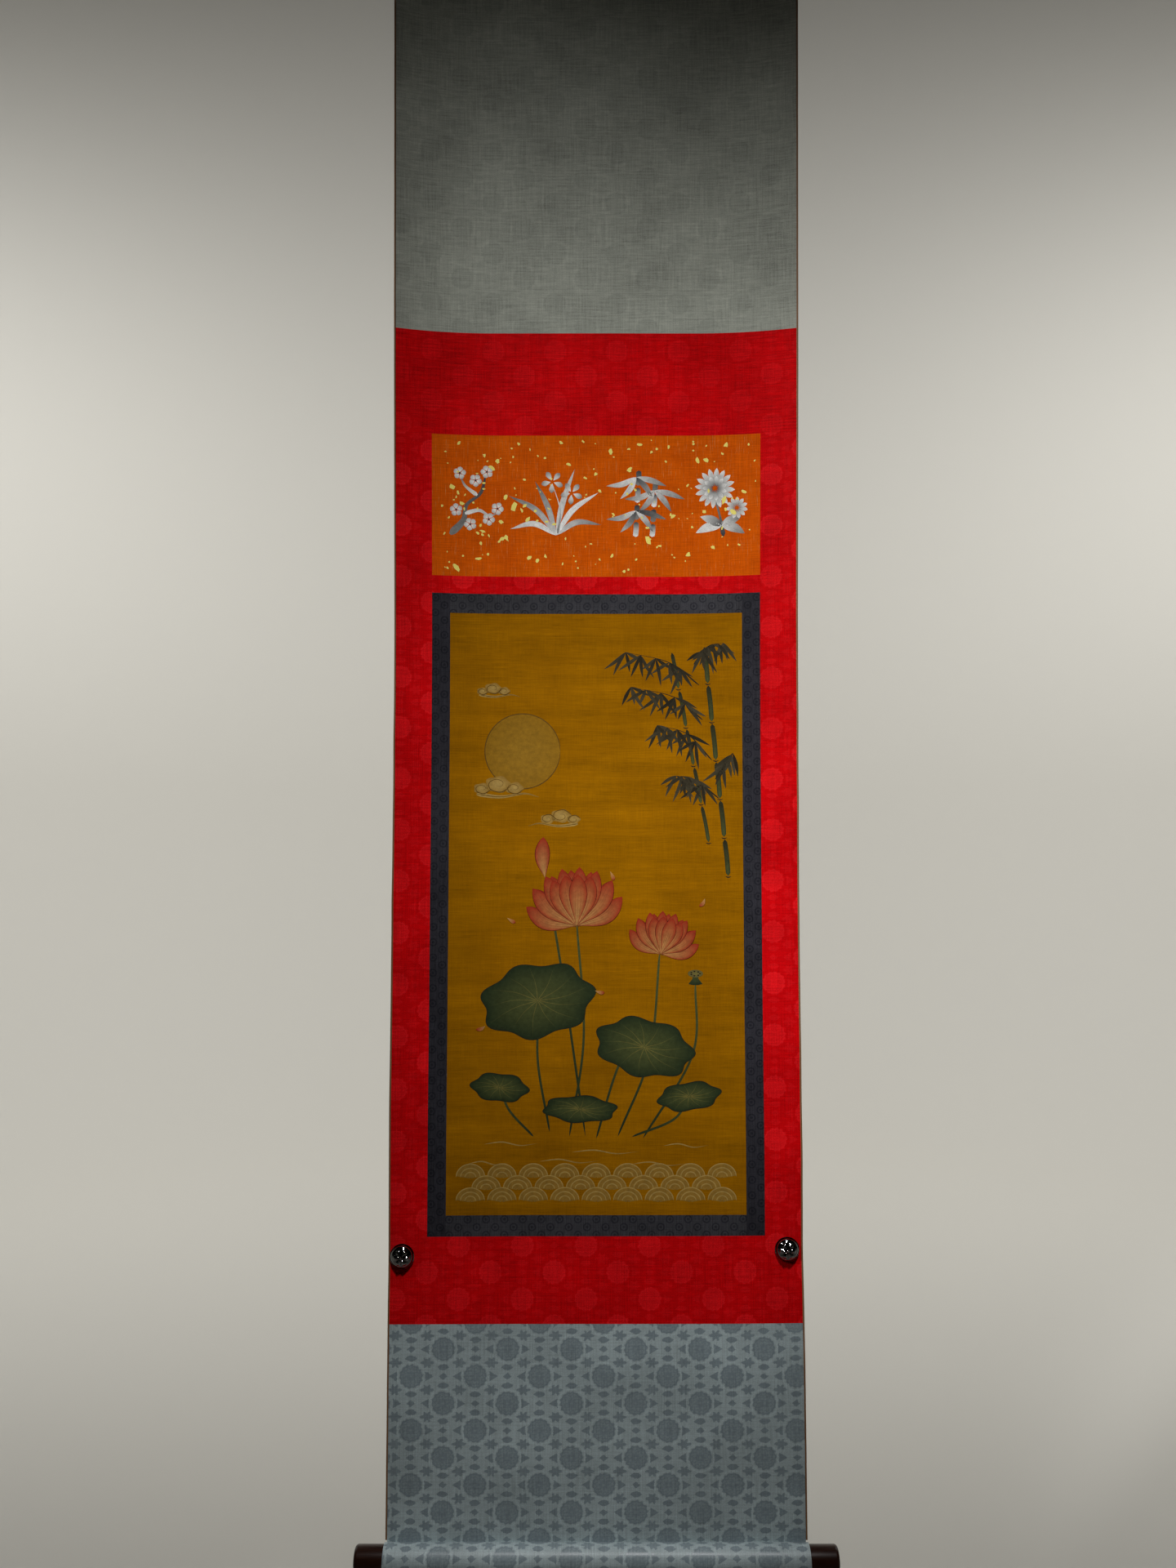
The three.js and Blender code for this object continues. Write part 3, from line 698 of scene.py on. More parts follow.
def sprigs():
    """Plum branch, orchid, bamboo and chrysanthemum in loose brush marks, each drawn round its own
    middle and then set in its place across the panel."""
    plum = [mark([(-27, 36), (-12, 20), (-8, 2), (8, -12), (14, -34)], 8.5, "brush", ASH, SOOT, count=26),
            mark([(-10, 12), (6, 8), (18, 14), (29, 10)], 5.4, "taper", SILVER, ASH, level=1),
            mark([(4, -9), (-10, -20), (-16, -33)], 5.0, "taper", SILVER, SOOT, level=1)]
    for spot in ((-16, -34), (15, -36), (2, -26), (27, 6), (17, 18), (-20, 8), (-4, 24)):
        plum += rosette(spot, 5, 7.4, 6.0, 3, SILVER, (0.55, 0.54, 0.50), spot[0] - 140)
        plum.append(wash(spot, (1.1, 1.1), SOOT, level=5, steps=5))
    orchid = blades((-2, 36), (-62, -38, -16, 12, 34, 58), (56, 72, 66, 78, 70, 56), 6.6, 1, 0.65)
    orchid.append(mark([(0, 34), (3, 8), (-5, -20)], 3.0, "taper", ASH, SILVER, level=2))
    for spot in ((-6, -25), (16, -12)):
        orchid += rosette(spot, 5, 13.0, 6.0, 4, SILVER, ASH, 0.4)
    canes = []
    for foot, top in ((-9, -40), (10, -30)):
        for k in range(4):
            x, low, high = foot + k, 38 - k * (38 - top) / 4, 38 - (k + 1) * (38 - top) / 4 + 2.2
            canes.append(mark([(x, low), (x + 1, (low + high) / 2), (x + 1, high)], 6.0, "even",
                              ASH if k % 2 else SILVER, SOOT))
    for root in ((-8, -30), (13, -15), (-8, 8)):
        canes += blades(root, (102, 136, 208, 244), (36, 31, 31, 36), 6.6, 2, 0.08)
    heads = [mark([(6, 38), (2, 16), (-4, -6)], 5.4, "brush", SOOT, ASH)]
    heads += rosette((-4, -17), 16, 23.0, 5.8, 2, ASH, SILVER, 0.1)
    heads += rosette((-4, -17), 11, 14.0, 5.2, 4, SOOT, SILVER, 0.3)
    heads += rosette((21, 6), 11, 12.5, 4.6, 2, ASH, SILVER, 0.2)
    heads.append(mark([(3, 24), (14, 16), (20, 9)], 3.6, "taper", ASH, SILVER, level=1))
    heads += blades((4, 26), (-95, -60, 60, 100), (31, 27, 24, 28), 10.5, 1, 0.2)
    return [{**one, "spot": one["spot"] + (across, 0)}
            for across, sprig in ((-140, plum), (-44, orchid), (54, canes), (140, heads)) for one in sprig]


ink_sprigs = painted("silver_ink_sprigs", sprigs(), SPRIG_MIDDLE, SILVER_INK)
hung(gold, "gold_fleck_panel", GOLD_EDGES)

# The dark-blue border: four strips of dark blue silk with a small ring pattern round the picture.
# The two side strips run the whole height, and the top and bottom ones fit between them. The side
# strips are cut lengthways of the silk and shine less to the front; that shine is painted into the
# colour, as painted sheen that makes the top and bottom strips' copy of the silk lighter than the sides'.
RING_ACROSS, RING_DOWN, RING_RADIUS = 20.4, 17.0, 4.4


def ring_silk(name, ground, figure):
    """Dark blue silk with small rings in a half-drop, a dot in each and short bars between them."""
    silk = Surface(name, 0.62, 0.08).measured()
    ragged = silk.mottle(0.9, detail=2) - 0.5
    x, y = nearest_motif(silk.x + ragged * 0.9, silk.y - ragged * 0.8, RING_ACROSS, RING_DOWN)
    radius = (x * x + y * y).math("SQRT")
    ring, dot = (radius - RING_RADIUS + 0.6).size().under(0.75), radius.under(1.5)
    bar = ((x.size() - RING_ACROSS / 2).size() / 3.0 + y.size() / 1.2).under(1, 0.2)
    figures = ring.most(dot).most(bar)
    warp, weft, fading = silk.threads(0.8, 0.03), silk.threads(0.04, 0.8, 3.0), silk.mottle(0.02, 5.0)
    colour = silk.blend(figures * 0.75, ground, figure)
    return silk.finish(warp * 0.6 + weft * 0.4, 0.00014, Roughness=figures * -0.12 + 0.64,
                       Base_Color=silk.shaded(colour, (warp, 2.2), (weft, 0.8), (fading, 0.8)))


# Painted sheen: the top and bottom strips get a lighter copy of the silk, the side strips a darker one.
BLUE_END_SILK_PAINTED_SHEEN = ring_silk("dark_blue_end_silk_painted_sheen", (0.046, 0.045, 0.051), (0.020, 0.020, 0.026))
BLUE_SIDE_SILK_LESS_SHEEN = ring_silk("dark_blue_side_silk_less_painted_sheen", (0.030, 0.029, 0.036), (0.013, 0.013, 0.018))
PICTURE_WIDTH = (-PICTURE_HALF, PICTURE_HALF)
border_top = panel("silk_blue_top", "blue_border_top", (*PICTURE_WIDTH, BORDER_TOP, PICTURE_TOP),
                   BLUE_END_SILK_PAINTED_SHEEN)
panel("silk_blue_bottom", "blue_border_bottom", (*PICTURE_WIDTH, PICTURE_BOTTOM, BORDER_BOTTOM),
      BLUE_END_SILK_PAINTED_SHEEN)
for side, edges in (("left", (-MIDDLE_HALF, -PICTURE_HALF)), ("right", (PICTURE_HALF, MIDDLE_HALF))):
    panel(f"silk_blue_side_{side}", f"blue_border_{side}", (*edges, BORDER_TOP, BORDER_BOTTOM),
          BLUE_SIDE_SILK_LESS_SHEEN)

# The picture: old ochre silk on which a lotus pond is painted in mineral colours and ink, with
# bamboo above it, a moon and scrolled clouds. Pasted between the four strips of the border.
PICTURE_EDGES = (*PICTURE_WIDTH, PICTURE_TOP, PICTURE_BOTTOM)
INK, DARK_LEAF, LEAF = (0.022, 0.018, 0.010), (0.018, 0.030, 0.012), (0.075, 0.085, 0.025)
VEIN, POD_FACE, PETAL_VEIN = (0.17, 0.14, 0.035), (0.12, 0.10, 0.03), (0.30, 0.10, 0.03)
PETAL_ROOT, PETAL_TIP, PETAL_LINE = (0.50, 0.28, 0.085), (0.32, 0.022, 0.008), (0.09, 0.010, 0.004)
CREAM, CREAM_SHADE, MOON_LINE = (0.42, 0.27, 0.075), (0.30, 0.165, 0.028), (0.12, 0.060, 0.008)
MOON, MOON_EDGE = (0.30, 0.155, 0.012), (0.275, 0.135, 0.007)


def aged_silk():
    """Old ochre silk: slow brown clouds, faint level bands where it was rolled, thick and thin
    threads, and small dark specks."""
    silk = Surface("aged_ochre_silk", 0.62, 0.02).measured()
    warp, weft = silk.threads(0.8, 0.03), silk.threads(0.03, 0.7, 3.0)
    cloud, bands = silk.mottle(0.013, 1.0, 4, 0.6), silk.threads(0.004, 0.07, 8.0, 3, 0.5)
    specks = (silk.mottle(0.7, 6.0, 3, 0.7) * -1).under(-0.72, 0.03)
    colour = silk.blend(cloud * 1.6 - 0.3, (0.250, 0.096, 0.0003), (0.380, 0.152, 0.0006))
    colour = silk.blend(specks * 0.4, colour, (0.09, 0.035, 0.002))
    return silk.finish(warp * 0.5 + weft * 0.5, 0.00009, Roughness=warp * 0.12 + 0.58,
                       Base_Color=silk.shaded(colour, (warp, 0.6), (weft, 1.1), (bands, 0.6)))


def lotus_leaf(centre, size, turn, level, lobes, phase):
    """Open leaf: a dark wash a little larger, the leaf's own wash, and veins from its heart."""
    pool = {"turn": turn, "lobes": lobes, "depth": 0.07, "phase": phase, "steps": 25}
    marks = [wash(centre, (size[0] + 0.7, size[1] + 0.7), INK, level=level, **pool),
             wash(centre, size, LEAF, DARK_LEAF, level=level + 1, **pool)]
    for angle in np.arange(13) * 2 * math.pi / 13 + phase:
        reach = 0.93 * (1 + 0.07 * math.cos(lobes * angle + phase))
        way = turned(size[0] * math.cos(angle) * reach, size[1] * math.sin(angle) * reach, turn)
        bend = np.array([-way[1], way[0]]) * 0.06
        marks.append(mark([centre, centre + way * 0.5 + bend, centre + way], 0.9, "taper", VEIN, LEAF,
                          level=level + 2, count=12))
    return marks + [wash(centre, (2.2, 1.6), VEIN, LEAF, turn, level=level + 3, steps=7)]


def lotus_petal(line, width, rim, level, count=14):
    """Petal painted over a dark shape of its own, a rim wider."""
    return [mark(line, width + rim, "petal", PETAL_LINE, None, None, level, count, 5),
            mark(line, width, "petal", PETAL_ROOT, PETAL_TIP, PETAL_TIP, level + 1, count, 5)]


def lotus_flower(base, size, lean, level):
    """Petals fanned from one base in three rounds, the outer ones first, each with three veins."""
    marks = []
    for count, spread, long, wide in ((7, 78, 1.0, 0.30), (6, 54, 1.05, 0.31), (4, 27, 0.92, 0.33)):
        for angle in sorted(np.linspace(-spread, spread, count), key=lambda value: -abs(value)):
            middle = base + upward(angle + lean) * size * long * 0.55
            tip = middle + upward(angle * 0.62 + lean) * size * long * 0.50
            marks += lotus_petal([base, middle, tip], size * wide, 1.1, level, count=16)
            side = upward(angle + lean + 90) * size * wide * 0.16
            for shift in (-1, 0, 1):
                vein = [base + side * shift * 0.5, middle + side * shift,
                        middle + (tip - middle) * 0.6 + side * shift * 0.6]
                marks.append(mark(vein, 0.5, "taper", PETAL_VEIN, PETAL_TIP, level=level + 2, count=8))
            level += 3
    return marks


def seed_pod(centre, size, level):
    """Top-shaped pod: its cup as a short petal upside down, its flat face and the seeds in it."""
    x, y = centre
    cup = [(x, y + size * 1.5), (x, y + size * 0.7), (x, y)]
    marks = [mark(cup, size * 1.9, "brush", DARK_LEAF, LEAF, level=level),
             wash(centre, (size, size * 0.5), VEIN, POD_FACE, level=level + 1)]
    return marks + [wash(arc(centre, size * 0.6, angle, 0.28 / 0.6), (1.1, 0.8), INK, level=level + 2, steps=5)
                    for angle in np.arange(7) * 2 * math.pi / 7]


def scroll_cloud(centre, size, flip, level):
    """Cloud of three curled heads with a trailing tail: a pale wash under each head, and a spiral
    line whose radius shrinks evenly as it turns."""
    marks = []
    turn, shrink = np.linspace(0.2, 0.2 + 2.7 * math.pi, 9) * flip, np.linspace(1.0, 0.16, 9)
    for shift, drop, scale in ((0.0, 0.0, 1.0), (1.25, 0.28, 0.72), (-1.2, 0.32, 0.66)):
        heart, reach = centre + np.array([shift * flip, drop]) * size, size * scale
        marks += [wash(heart, (reach * 0.95, reach * 0.62), CREAM, CREAM_SHADE, lobes=5, depth=0.08, level=level),
                  mark(arc(heart, shrink * reach, turn, 0.68), 1.1, "taper", MOON_LINE, level=level + 1, count=44)]
    tail = centre + np.array([(-1.6, 0.75), (0.2, 0.95), (2.0, 0.7), (3.1, 0.95)]) * (size * flip, size)
    return marks + [mark(tail, size * 0.34, "taper", CREAM, CREAM_SHADE, level=level, count=20),
                    mark(tail, 0.9, "taper", MOON_LINE, level=level + 1, count=20)]


def pond():
    """Lotus plants from the foot of the picture: stems first, then leaves, pod, flowers, a bud and
    loose petals."""
    stems = (((-52, 585), (-66, 500), (-60, 420)), ((-30, 590), (-14, 480), (-22, 352)),
             ((0, 592), (22, 520), (46, 470)), ((-70, 590), (-98, 560), (-108, 530)),
             ((24, 590), (60, 500), (72, 385)), ((40, 590), (88, 570), (104, 540)),
             ((-12, 590), (-40, 400), (-58, 300)), ((52, 592), (108, 500), (112, 420)))
    leaves = (((-66, 440), (62, 40), -0.15, 4, 7, 0.3), ((54, 492), (54, 31), 0.20, 4, 7, 1.1),
              ((-108, 536), (31, 15), 0.10, 8, 6, 0.0), ((104, 546), (34, 15), -0.12, 8, 6, 0.7),
              ((-18, 560), (40, 14), 0.03, 12, 6, 1.9))
    marks = [mark(stem, 2.6, "even", DARK_LEAF, LEAF, count=40) for stem in stems]
    for leaf in leaves:
        marks += lotus_leaf(*leaf)
    marks += seed_pod((112, 410), 8.5, 4)
    marks += lotus_flower((-22, 356), 60, -6, 16) + lotus_flower((73, 388), 44, 12, 16)
    marks += lotus_petal(((-58, 302), (-61, 280), (-60, 256)), 16.0, 1.5, 4)
    for x, y, lean in ((-96, 350, 0.5), (18, 300, 1.2), (120, 330, 2.2), (-130, 470, 2.8), (4, 430, 0.2)):
        line = [arc((x, y), -5.5, lean), (x + 1.0, y + 1.2), arc((x, y), 5.5, lean)]
        marks.append(mark(line, 4.2, "petal", PETAL_ROOT, PETAL_TIP, level=60, count=8))
    return marks


def water():
    """Three rows of shells of water along the foot, each shell three rings cut to their upper half,
    and long ripples above them."""
    marks, turn = [], np.linspace(math.pi, 2 * math.pi, 9)
    for row in range(3):
        for k in range(9 - row % 2):
            centre = (-140 + 35 * k + 17.5 * (row % 2), 660 - 13 * (2 - row))
            marks.append(mark(arc(centre, 8.2, turn, 0.9), 15.4, "full", CREAM_SHADE, level=3 * row, count=18,
                              columns=5))
            marks += [mark(arc(centre, reach, turn, 0.9), 1.2, "even", CREAM, level=3 * row + 1, count=18)
                      for reach in (16, 11, 6)]
    for x, y, long in ((-95, 598, 60), (10, 607, 74), (100, 600, 50), (-30, 617, 66), (70, 620, 60),
                       (-120, 619, 44)):
        ripple = [(x - long / 2, y), (x - long / 6, y - 2.2), (x + long / 6, y + 1.6), (x + long / 2, y - 0.6)]
        marks.append(mark(ripple, 1.5, "leaf", CREAM, CREAM_SHADE, count=24))
    return marks


def bamboo():
    """Two canes in jointed strokes from the upper right, and sprays of leaves in dark ink."""
    marks, cut = [], np.random.default_rng(3)
    for x, y, lean, wide in ((150, 300, -0.10, 5.4), (128, 262, -0.19, 4.2)):
        for k in range(6):
            low = np.array([x + lean * 44 * k, y - 44 * k])
            high = low + (lean * 40, -41.5)
            if high[1] > 8:
                marks += [mark([low, (low + high) / 2 + (0.5, 0), high], wide, "even", LEAF, INK, edge=DARK_LEAF,
                               columns=5),
                          mark([low + (-3.4, 0.6), low + (0, 1.6), low + (3.4, 0.6)], 1.3, "leaf", INK, level=1,
                               count=8)]
    twigs = (((140, 212), (112, 190), (92, 186)), ((132, 168), (104, 138), (70, 128)),
             ((122, 122), (90, 96), (40, 84)), ((118, 82), (84, 56), (34, 44)),
             ((112, 58), (128, 38), (146, 34)), ((136, 190), (150, 168), (156, 160)))
    for twig in twigs:
        marks.append(mark(twig, 1.7, "taper", INK, level=1, count=20))
        for spot in smooth_line(twig, 7)[2:]:
            for angle in cut.permutation([118, 146, 172, 204, 236])[:4]:
                long = cut.uniform(19, 33)
                middle = spot + upward(angle + cut.uniform(-9, 9)) * long / 2
                end = middle + upward(angle) * long / 2
                if abs(end[0]) < 163 and end[1] > 4:
                    shade = np.array(INK) * cut.uniform(0.7, 2.2)
                    marks.append(mark([spot, middle, end], 3.9, "leaf", shade, shade * 1.5,
                                      level=2 + len(marks) % 5, count=10))
    return marks


def sky():
    """Pale moon with a thin ink ring, low at the left, and three scrolled clouds across it."""
    centre, radius = (-84, 158), 43
    ring = arc(centre, radius, np.linspace(0, 2 * math.pi, 25))
    marks = [wash(centre, (radius, radius), MOON, MOON_EDGE, steps=29),
             mark(ring, 1.1, "even", MOON_LINE, level=1, count=120)]
    for place, size, flip in (((-112, 196), 15, 1), ((-40, 232), 12, -1), ((-118, 86), 10, 1)):
        marks += scroll_cloud(place, size, flip, 3)
    return marks


OCHRE_SILK = aged_silk()
MINERAL_PAINT = ink_material("mineral_colours_and_ink", 0.5, 0.62)
picture = cloth_piece("silk_picture", PICTURE_EDGES, OCHRE_SILK)
paintings = [painted(f"painted_{subject.__name__}", subject(), PICTURE_TOP, MINERAL_PAINT)
             for subject in (sky, water, pond, bamboo)]
hung(picture, "picture_panel", PICTURE_EDGES)

# The edge bindings: a strip of thin brown silk folded round each side edge of the cloth and pasted,
# which stops just above the crease.
BINDING_THICK, BINDING_SIDES, BINDING_SQUARENESS = 0.0014, 12, 0.45
BINDING_END = CREASE - 0.003


def plain_grain(name, roughness, dark, pale, scale, depth, **uniform):
    """Plain surface with long grain: a colour between dark and pale by a noise that is stretched by
    scale (along, aside) on the piece's own uv, and a fine relief of the same grain."""
    surface = Surface(name, roughness, **uniform).measured()
    grain = surface.threads(scale[1], scale[0], 0.0, 4, 0.6)
    return surface.finish(grain, depth, Base_Color=surface.blend(grain * 1.6 - 0.3, dark, pale),
                          Roughness=grain * 0.2 + roughness - 0.1)


def loop_faces(rings, around):
    """Numbers of a tube's points, ring by ring, and the quads between neighbouring rings."""
    index = np.arange(rings * around).reshape(rings, around)
    onward = np.roll(index, -1, axis=1)
    return index, np.stack([index[:-1], index[1:], onward[1:], onward[:-1]], -1).reshape(-1, 4)


def folded_binding(name, side):
    """Flat loop carried down the cloth's edge: across = middle + half * c and lift = thick/2 * s,
    where c and s are cosine and sine raised to the power of squareness with their signs."""
    turn = np.linspace(0, 2 * math.pi, BINDING_SIDES, endpoint=False) * side
    c, s = (np.sign(w) * np.abs(w) ** BINDING_SQUARENESS for w in (np.cos(turn), np.sin(turn)))
    rows = evenly(0, BINDING_END)
    across = side * (HALF_WIDTH - BINDING_WIDTH / 2) + side * c * (BINDING_WIDTH / 2 - SEAM)
    down, across = np.meshgrid(rows, across, indexing="ij")
    points = sheet_point(across, down, BINDING_THICK / 2 * s)
    index, tube = loop_faces(len(rows), BINDING_SIDES)
    k = np.arange(BINDING_SIDES // 2 - 1)
    cap = np.stack([k, k + 1, BINDING_SIDES - 2 - k, BINDING_SIDES - 1 - k], -1)
    faces = np.concatenate([tube, cap, cap[:, ::-1] + index[-1, 0]])
    uv = np.stack([across, down], -1).reshape(-1, 2)
    return meshed(name, points.reshape(-1, 3), faces, {"cloth": uv}, (BROWN_EDGE,))


BROWN_EDGE = plain_grain("brown_edge_silk", 0.6, (0.150, 0.070, 0.028), (0.340, 0.175, 0.078), (1.2, 3.0), 0.00006)
for side, name in ((-1, "left"), (1, "right")):
    stands_for(folded_binding(f"binding_{name}", side), f"edge_binding_{name}")

# The earth panel: the last length of grey-blue figured silk. It comes down to the crease, turns
# sharply forward over the rod and is pasted round its front, underside and back.
WRAP_RADIUS = 0.015
CREASE_ANGLE, WRAP_END_ANGLE = -35, 314
WRAP_STEP = 4
crease_turn = math.radians(CREASE_ANGLE)
AXIS_Y = WALL - float(off_wall(0, CREASE)) + WRAP_RADIUS * math.sin(crease_turn)
AXIS_Z = float(np.interp(CREASE, HEIGHT_STATIONS, HEIGHTS)) - WRAP_RADIUS * math.cos(crease_turn)
CUT_EDGE = plain_grain("cut_paper_edge", 0.8, (0.26, 0.20, 0.12), (0.42, 0.34, 0.22), (0.4, 6.0), 0.00005)


def earth_side(lift, flat_rows, columns, angles):
    """One face of the earth panel: rows of the bent sheet, then the mitred crease row, then rows
    round the rod at radius + lift, where y is the axis less the sine and z the axis plus the cosine."""
    down, across = np.meshgrid(flat_rows, columns, indexing="ij")
    flat = sheet_point(across, down, lift)
    turn = math.pi / 2 - crease_turn
    crease = np.array([[WALL - float(off_wall(0, CREASE)) - lift, HEIGHTS[-1] + lift * math.tan(turn / 2)]])
    radius = WRAP_RADIUS + lift
    round_rod = np.stack([AXIS_Y - radius * np.sin(angles), AXIS_Z + radius * np.cos(angles)], -1)
    section = np.concatenate([crease, round_rod])
    wide = columns * HALF_WIDTH / PANEL_HALF
    across_wrap = np.concatenate([columns[None], np.repeat(wide[None], len(angles), 0)])
    wrap = np.concatenate([across_wrap[..., None],
                           np.broadcast_to(section[:, None], (*across_wrap.shape, 2))], -1)
    return np.concatenate([flat, wrap])


def earth_piece():
    """Both faces of the earth panel, with a uv that goes on round the rod by arc length."""
    columns, rows = evenly(*FULL_WIDTH), evenly(RED_BOTTOM, CREASE)[:-1]
    angles = np.radians(np.arange(CREASE_ANGLE + WRAP_STEP, WRAP_END_ANGLE + 1, WRAP_STEP))
    front, back = (earth_side(lift, rows, columns, angles) for lift in (CLOTH_THICK / 2, -CLOTH_THICK / 2))
    round_rod = CREASE + (angles - crease_turn) * (WRAP_RADIUS + CLOTH_THICK / 2)
    down, across = np.meshgrid(np.concatenate([rows, [CREASE], round_rod]), columns, indexing="ij")
    return closed_sheet("silk_earth", front, back, np.stack([across, down], -1), (EARTH_SILK_PAINTED_COOL_LIGHT, PAPER, CUT_EDGE),
                        cut_edge=2)


# Painted light: the earth's copy of the same grey-blue silk is tinted cooler and bluer than the heaven's, for the
# cooler light that falls on the foot of the cloth.
EARTH_SILK_PAINTED_COOL_LIGHT = figured_silk("earth_figured_silk_painted_cool_light", (0.42, 0.50, 0.51), (0.235, 0.29, 0.315), (0.56, 0.66, 0.67),
                         (8, 1596), 1.3, 0.7, small=0.9, gloss=0.40, roughness=0.45)
WRAP_LENGTH = math.radians(WRAP_END_ANGLE - CREASE_ANGLE) * WRAP_RADIUS
hung(earth_piece(), "earth_panel", (*FULL_WIDTH, RED_BOTTOM, CREASE + WRAP_LENGTH))

# The roller: plain softwood rod inside the wrapped end, seen only at its two cut ends.
ROD_RADIUS, HALF_ROD, ROD_CHAMFER = 0.014, 0.2275, 0.0004
ROD_WOOD = plain_grain("pale_rod_wood", 0.6, (0.30, 0.18, 0.09), (0.50, 0.34, 0.19), (0.05, 1.4), 0.0001)


def turned_piece(name, outline, centre, direction, around, material, relief=None):
    """Outline of (along, radius) carried round an axis: point = centre + along * direction +
    radius * (cos turn * side + sin turn * up). The first and last radius are nought, so both ends
    close in a point. relief, if given, is a function of radius and turn that is added along."""
    along, radius = np.array(outline, float).T
    turn = np.linspace(0, 2 * math.pi, around, endpoint=False)
    direction, up = np.array(direction, float), np.array([0, 0, 1.0])
    side = np.cross(up, direction)
    tips = along[[0, -1]]
    along, radius = along[1:-1, None] + 0 * turn, radius[1:-1, None] + 0 * turn
    if relief is not None:
        along = along + relief(along, radius, turn)
    ring = (np.array(centre) + along[..., None] * direction
            + (radius * np.cos(turn))[..., None] * side + (radius * np.sin(turn))[..., None] * up)
    points = np.concatenate([ring.reshape(-1, 3), np.array(centre) + tips[:, None] * direction])
    index, tube = loop_faces(len(ring), around)
    onward, last = np.roll(index, -1, axis=1), np.full(around, len(points) - 1)
    start = np.stack([onward[0], index[0], last - 1], -1)
    end = np.stack([index[-1], onward[-1], last], -1)
    uv = np.stack([np.concatenate([(turn * radius.max() + 0 * along).ravel(), [0, 0]]),
                   np.concatenate([along.ravel(), tips])], -1)
    faces = tube[:, [0, 3, 2, 1]].tolist() + start.tolist() + end.tolist()
    return meshed(name, points, faces, {"cloth": uv}, (material,))


half_outline = [(HALF_ROD - ROD_CHAMFER, ROD_RADIUS), (HALF_ROD, ROD_RADIUS - ROD_CHAMFER), (HALF_ROD, 0)]
rod_outline = [(-along, radius) for along, radius in half_outline[::-1]] + half_outline
rod = turned_piece("roller_rod", rod_outline, (0, AXIS_Y, AXIS_Z), (1, 0, 0), 48, ROD_WOOD)
stands_for(rod, "roller")

# The knobs: a turned hardwood end plugged into each end of the roller, with a rounded outer corner,
# stained dark and lacquered.
KNOB_LENGTH, KNOB_RADIUS, KNOB_ROUNDING, KNOB_GAP = 0.0334, 0.014, 0.0035, 0.0003
LACQUER = plain_grain("dark_lacquered_wood", 0.35, (0.010, 0.003, 0.0012), (0.036, 0.010, 0.004), (0.06, 1.1),
                      0.00003, specular=0.2, Coat_Weight=0.2, Coat_Roughness=0.08)
corner = np.linspace(0, math.pi / 2, 10)
knob_outline = [(0, 0), (0, KNOB_RADIUS - 0.0003), (0.0003, KNOB_RADIUS),
                *zip(KNOB_LENGTH - KNOB_ROUNDING * (1 - np.sin(corner)),
                     KNOB_RADIUS - KNOB_ROUNDING * (1 - np.cos(corner))),
                (KNOB_LENGTH, 0.004), (KNOB_LENGTH, 0)]
for side, name in ((-1, "left"), (1, "right")):
    knob = turned_piece(f"knob_{name}_end", knob_outline, (side * (HALF_ROD + KNOB_GAP), AXIS_Y, AXIS_Z),
                        (side, 0, 0), 64, LACQUER)
    stands_for(knob, f"knob_{name}")

# The studs: a polished dark metal stud through each lower corner of the red silk, with a domed head
# and a raised blossom, on a shank that ends flat against the wall.
STUD_RADIUS, STUD_RIM, STUD_DOME, SHANK_RADIUS, STUD_LIP = 0.0135, 0.0016, 0.0064, 0.0025, 0.0012
PETALS, PETAL_RISE, PETAL_REACH = 6, 0.0024, 0.0095
BOSS_RADIUS, BOSS_RISE = 0.0018, 0.8


def dark_chrome():
    """Blackened polished metal, with faint smears that dull it here and there."""
    metal = Surface("dark_polished_metal", 0.1, Metallic=1.0)
    smear = metal.noise(Strand(metal.tree, "TexCoord", output="Object"), 260.0, 3, 0.6)
    metal.fill(Base_Color=metal.blend(smear, (0.18, 0.18, 0.19), (0.30, 0.295, 0.29)),
               Roughness=smear * 0.06 + 0.03)
    return metal.material


def blossom_relief(along, radius, turn):
    """Raised blossom on the dome: six rounded petals, the rise times the square of a cosine over each
    petal and a smooth fade over its reach, with a small boss in the middle."""
    petal = np.cos(PETALS / 2 * turn) ** 2
    fade = np.clip(1 - (radius / PETAL_REACH) ** 4, 0, 1) * np.clip(radius / 0.0022 - 0.45, 0, 1)
    boss = np.clip(1 - (radius / BOSS_RADIUS) ** 2, 0, 1)
    rise = petal * fade * (0.5 + 0.5 * radius / PETAL_REACH) + BOSS_RISE * boss
    return (along > stud_shoulder) * PETAL_RISE * rise


DARK_CHROME = dark_chrome()
angle = np.linspace(0, math.pi / 2, 60)
for name in ("left", "right"):
    low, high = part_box(f"stud_{name}")
    seat = WALL - low[1] - STUD_RIM - STUD_DOME
    top = seat + STUD_RIM
    stud_shoulder = top + 0.0005
    dome = zip(top + STUD_DOME * np.sin(angle), (STUD_RADIUS - STUD_LIP) * np.cos(angle))
    stud_outline = [(0, 0), (0, SHANK_RADIUS), (seat, SHANK_RADIUS), (seat, STUD_RADIUS - 0.0003),
                    (seat + 0.0003, STUD_RADIUS), (top - 0.0005, STUD_RADIUS), (top, STUD_RADIUS - 0.0005),
                    (top - 0.0004, STUD_RADIUS - STUD_LIP), *list(dome)[1:-1], (top + STUD_DOME, 0)]
    place = ((low[0] + high[0]) / 2, WALL, (low[2] + high[2]) / 2)
    stud = turned_piece(f"stud_{name}_head", stud_outline, place, (0, -1, 0), 96, DARK_CHROME, blossom_relief)
    stands_for(stud, f"stud_{name}")

# Stage: a plain pale floor that turns up into a round backdrop far behind, and soft studio light.
FLOOR_DEPTH, COVE_RADIUS, COVE_HEIGHT, COVE_BEND, COVE_SIDES = -2.6, 7.0, 9.0, 2.0, 96


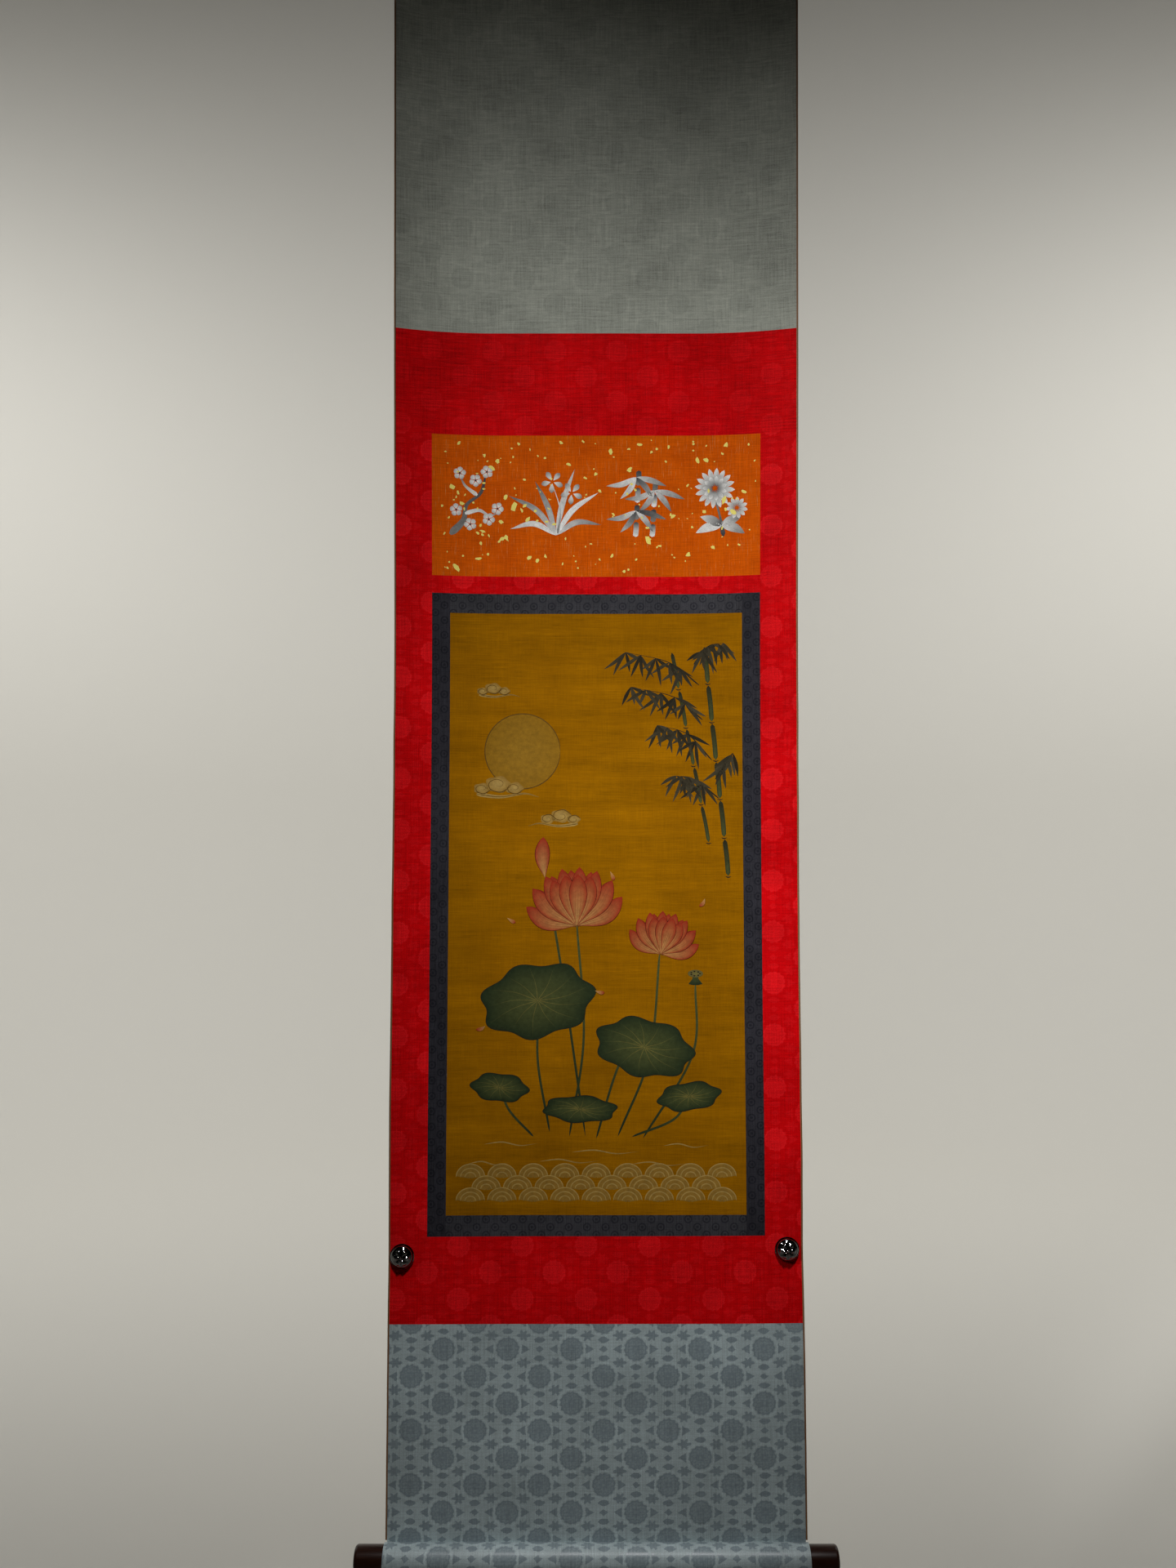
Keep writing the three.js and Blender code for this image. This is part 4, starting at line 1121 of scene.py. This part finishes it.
def backdrop_paper():
    """Seamless paper: pale behind the scroll and over the floor, dark on the side that faces it."""
    paper = Surface("backdrop_paper", 0.9, 0.1)
    place = Strand(paper.tree, "TexCoord", output="Object")
    floor_fade = (place.part(2) * -1).under(2.0, 0.6)
    front = place.part(1).under(0.5, 2.0) * (floor_fade * 0.65 + 0.35)
    paper.fill(Base_Color=paper.blend(front, (0.74, 0.72, 0.66), (0.04, 0.04, 0.04)))
    return paper.material


def cove():
    """Floor disc that bends up into a round wall: a profile of (radius, height) turned round z."""
    bend = np.linspace(0, math.pi / 2, 16)
    radius = np.concatenate([[0.0001, 1, 3], COVE_RADIUS - COVE_BEND + COVE_BEND * np.sin(bend), [COVE_RADIUS]])
    height = np.concatenate([[0, 0, 0], COVE_BEND * (1 - np.cos(bend)), [COVE_HEIGHT]]) + FLOOR_DEPTH
    turn = np.linspace(0, 2 * math.pi, COVE_SIDES, endpoint=False)
    ring = [radius[:, None] * np.cos(turn), radius[:, None] * np.sin(turn), height[:, None] + 0 * turn]
    faces = loop_faces(len(radius), COVE_SIDES)[1]
    return meshed("studio_cove", np.stack(ring, -1).reshape(-1, 3), faces, {}, (backdrop_paper(),))


def lamp(name, kind, place, aim, power, **settings):
    """Light at a place, turned to look at its aim."""
    data = bpy.data.lights.new(name, kind)
    data.energy = power
    for key, value in settings.items():
        setattr(data, key, value)
    light = bpy.data.objects.new(name, data)
    light.location = place
    x, y, z = np.array(aim, float) - np.array(place, float)
    light.rotation_euler = (math.atan2(math.hypot(x, y), -z), 0, math.atan2(-x, y))
    bpy.context.scene.collection.objects.link(light)


cove()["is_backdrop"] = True
lamp("key", "SPOT", (-2.46, -2.55, 1.3), (0.22, 0, -0.80), 560, spot_size=math.radians(17.0), spot_blend=1.0,
     shadow_soft_size=0.20)
lamp("top", "SPOT", (0.3, -1.68, 1.59), (0.02, 0, -1.24), 300, spot_size=math.radians(16.8), spot_blend=1.0,
     shadow_soft_size=0.15)
for x in (-3, 3):
    lamp("backdrop_light", "AREA", (x, 2.5, 2.0), (x * 0.6, 7, -1.5), 118, size=2.0)
world = bpy.data.worlds.new("studio")
world.use_nodes = True
background = world.node_tree.nodes["Background"].inputs
background["Color"].default_value = (0.9, 0.95, 1.0, 1)
background["Strength"].default_value = 0.003
bpy.context.scene.world = world
bpy.context.scene.view_settings.view_transform = "Standard"

low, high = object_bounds()
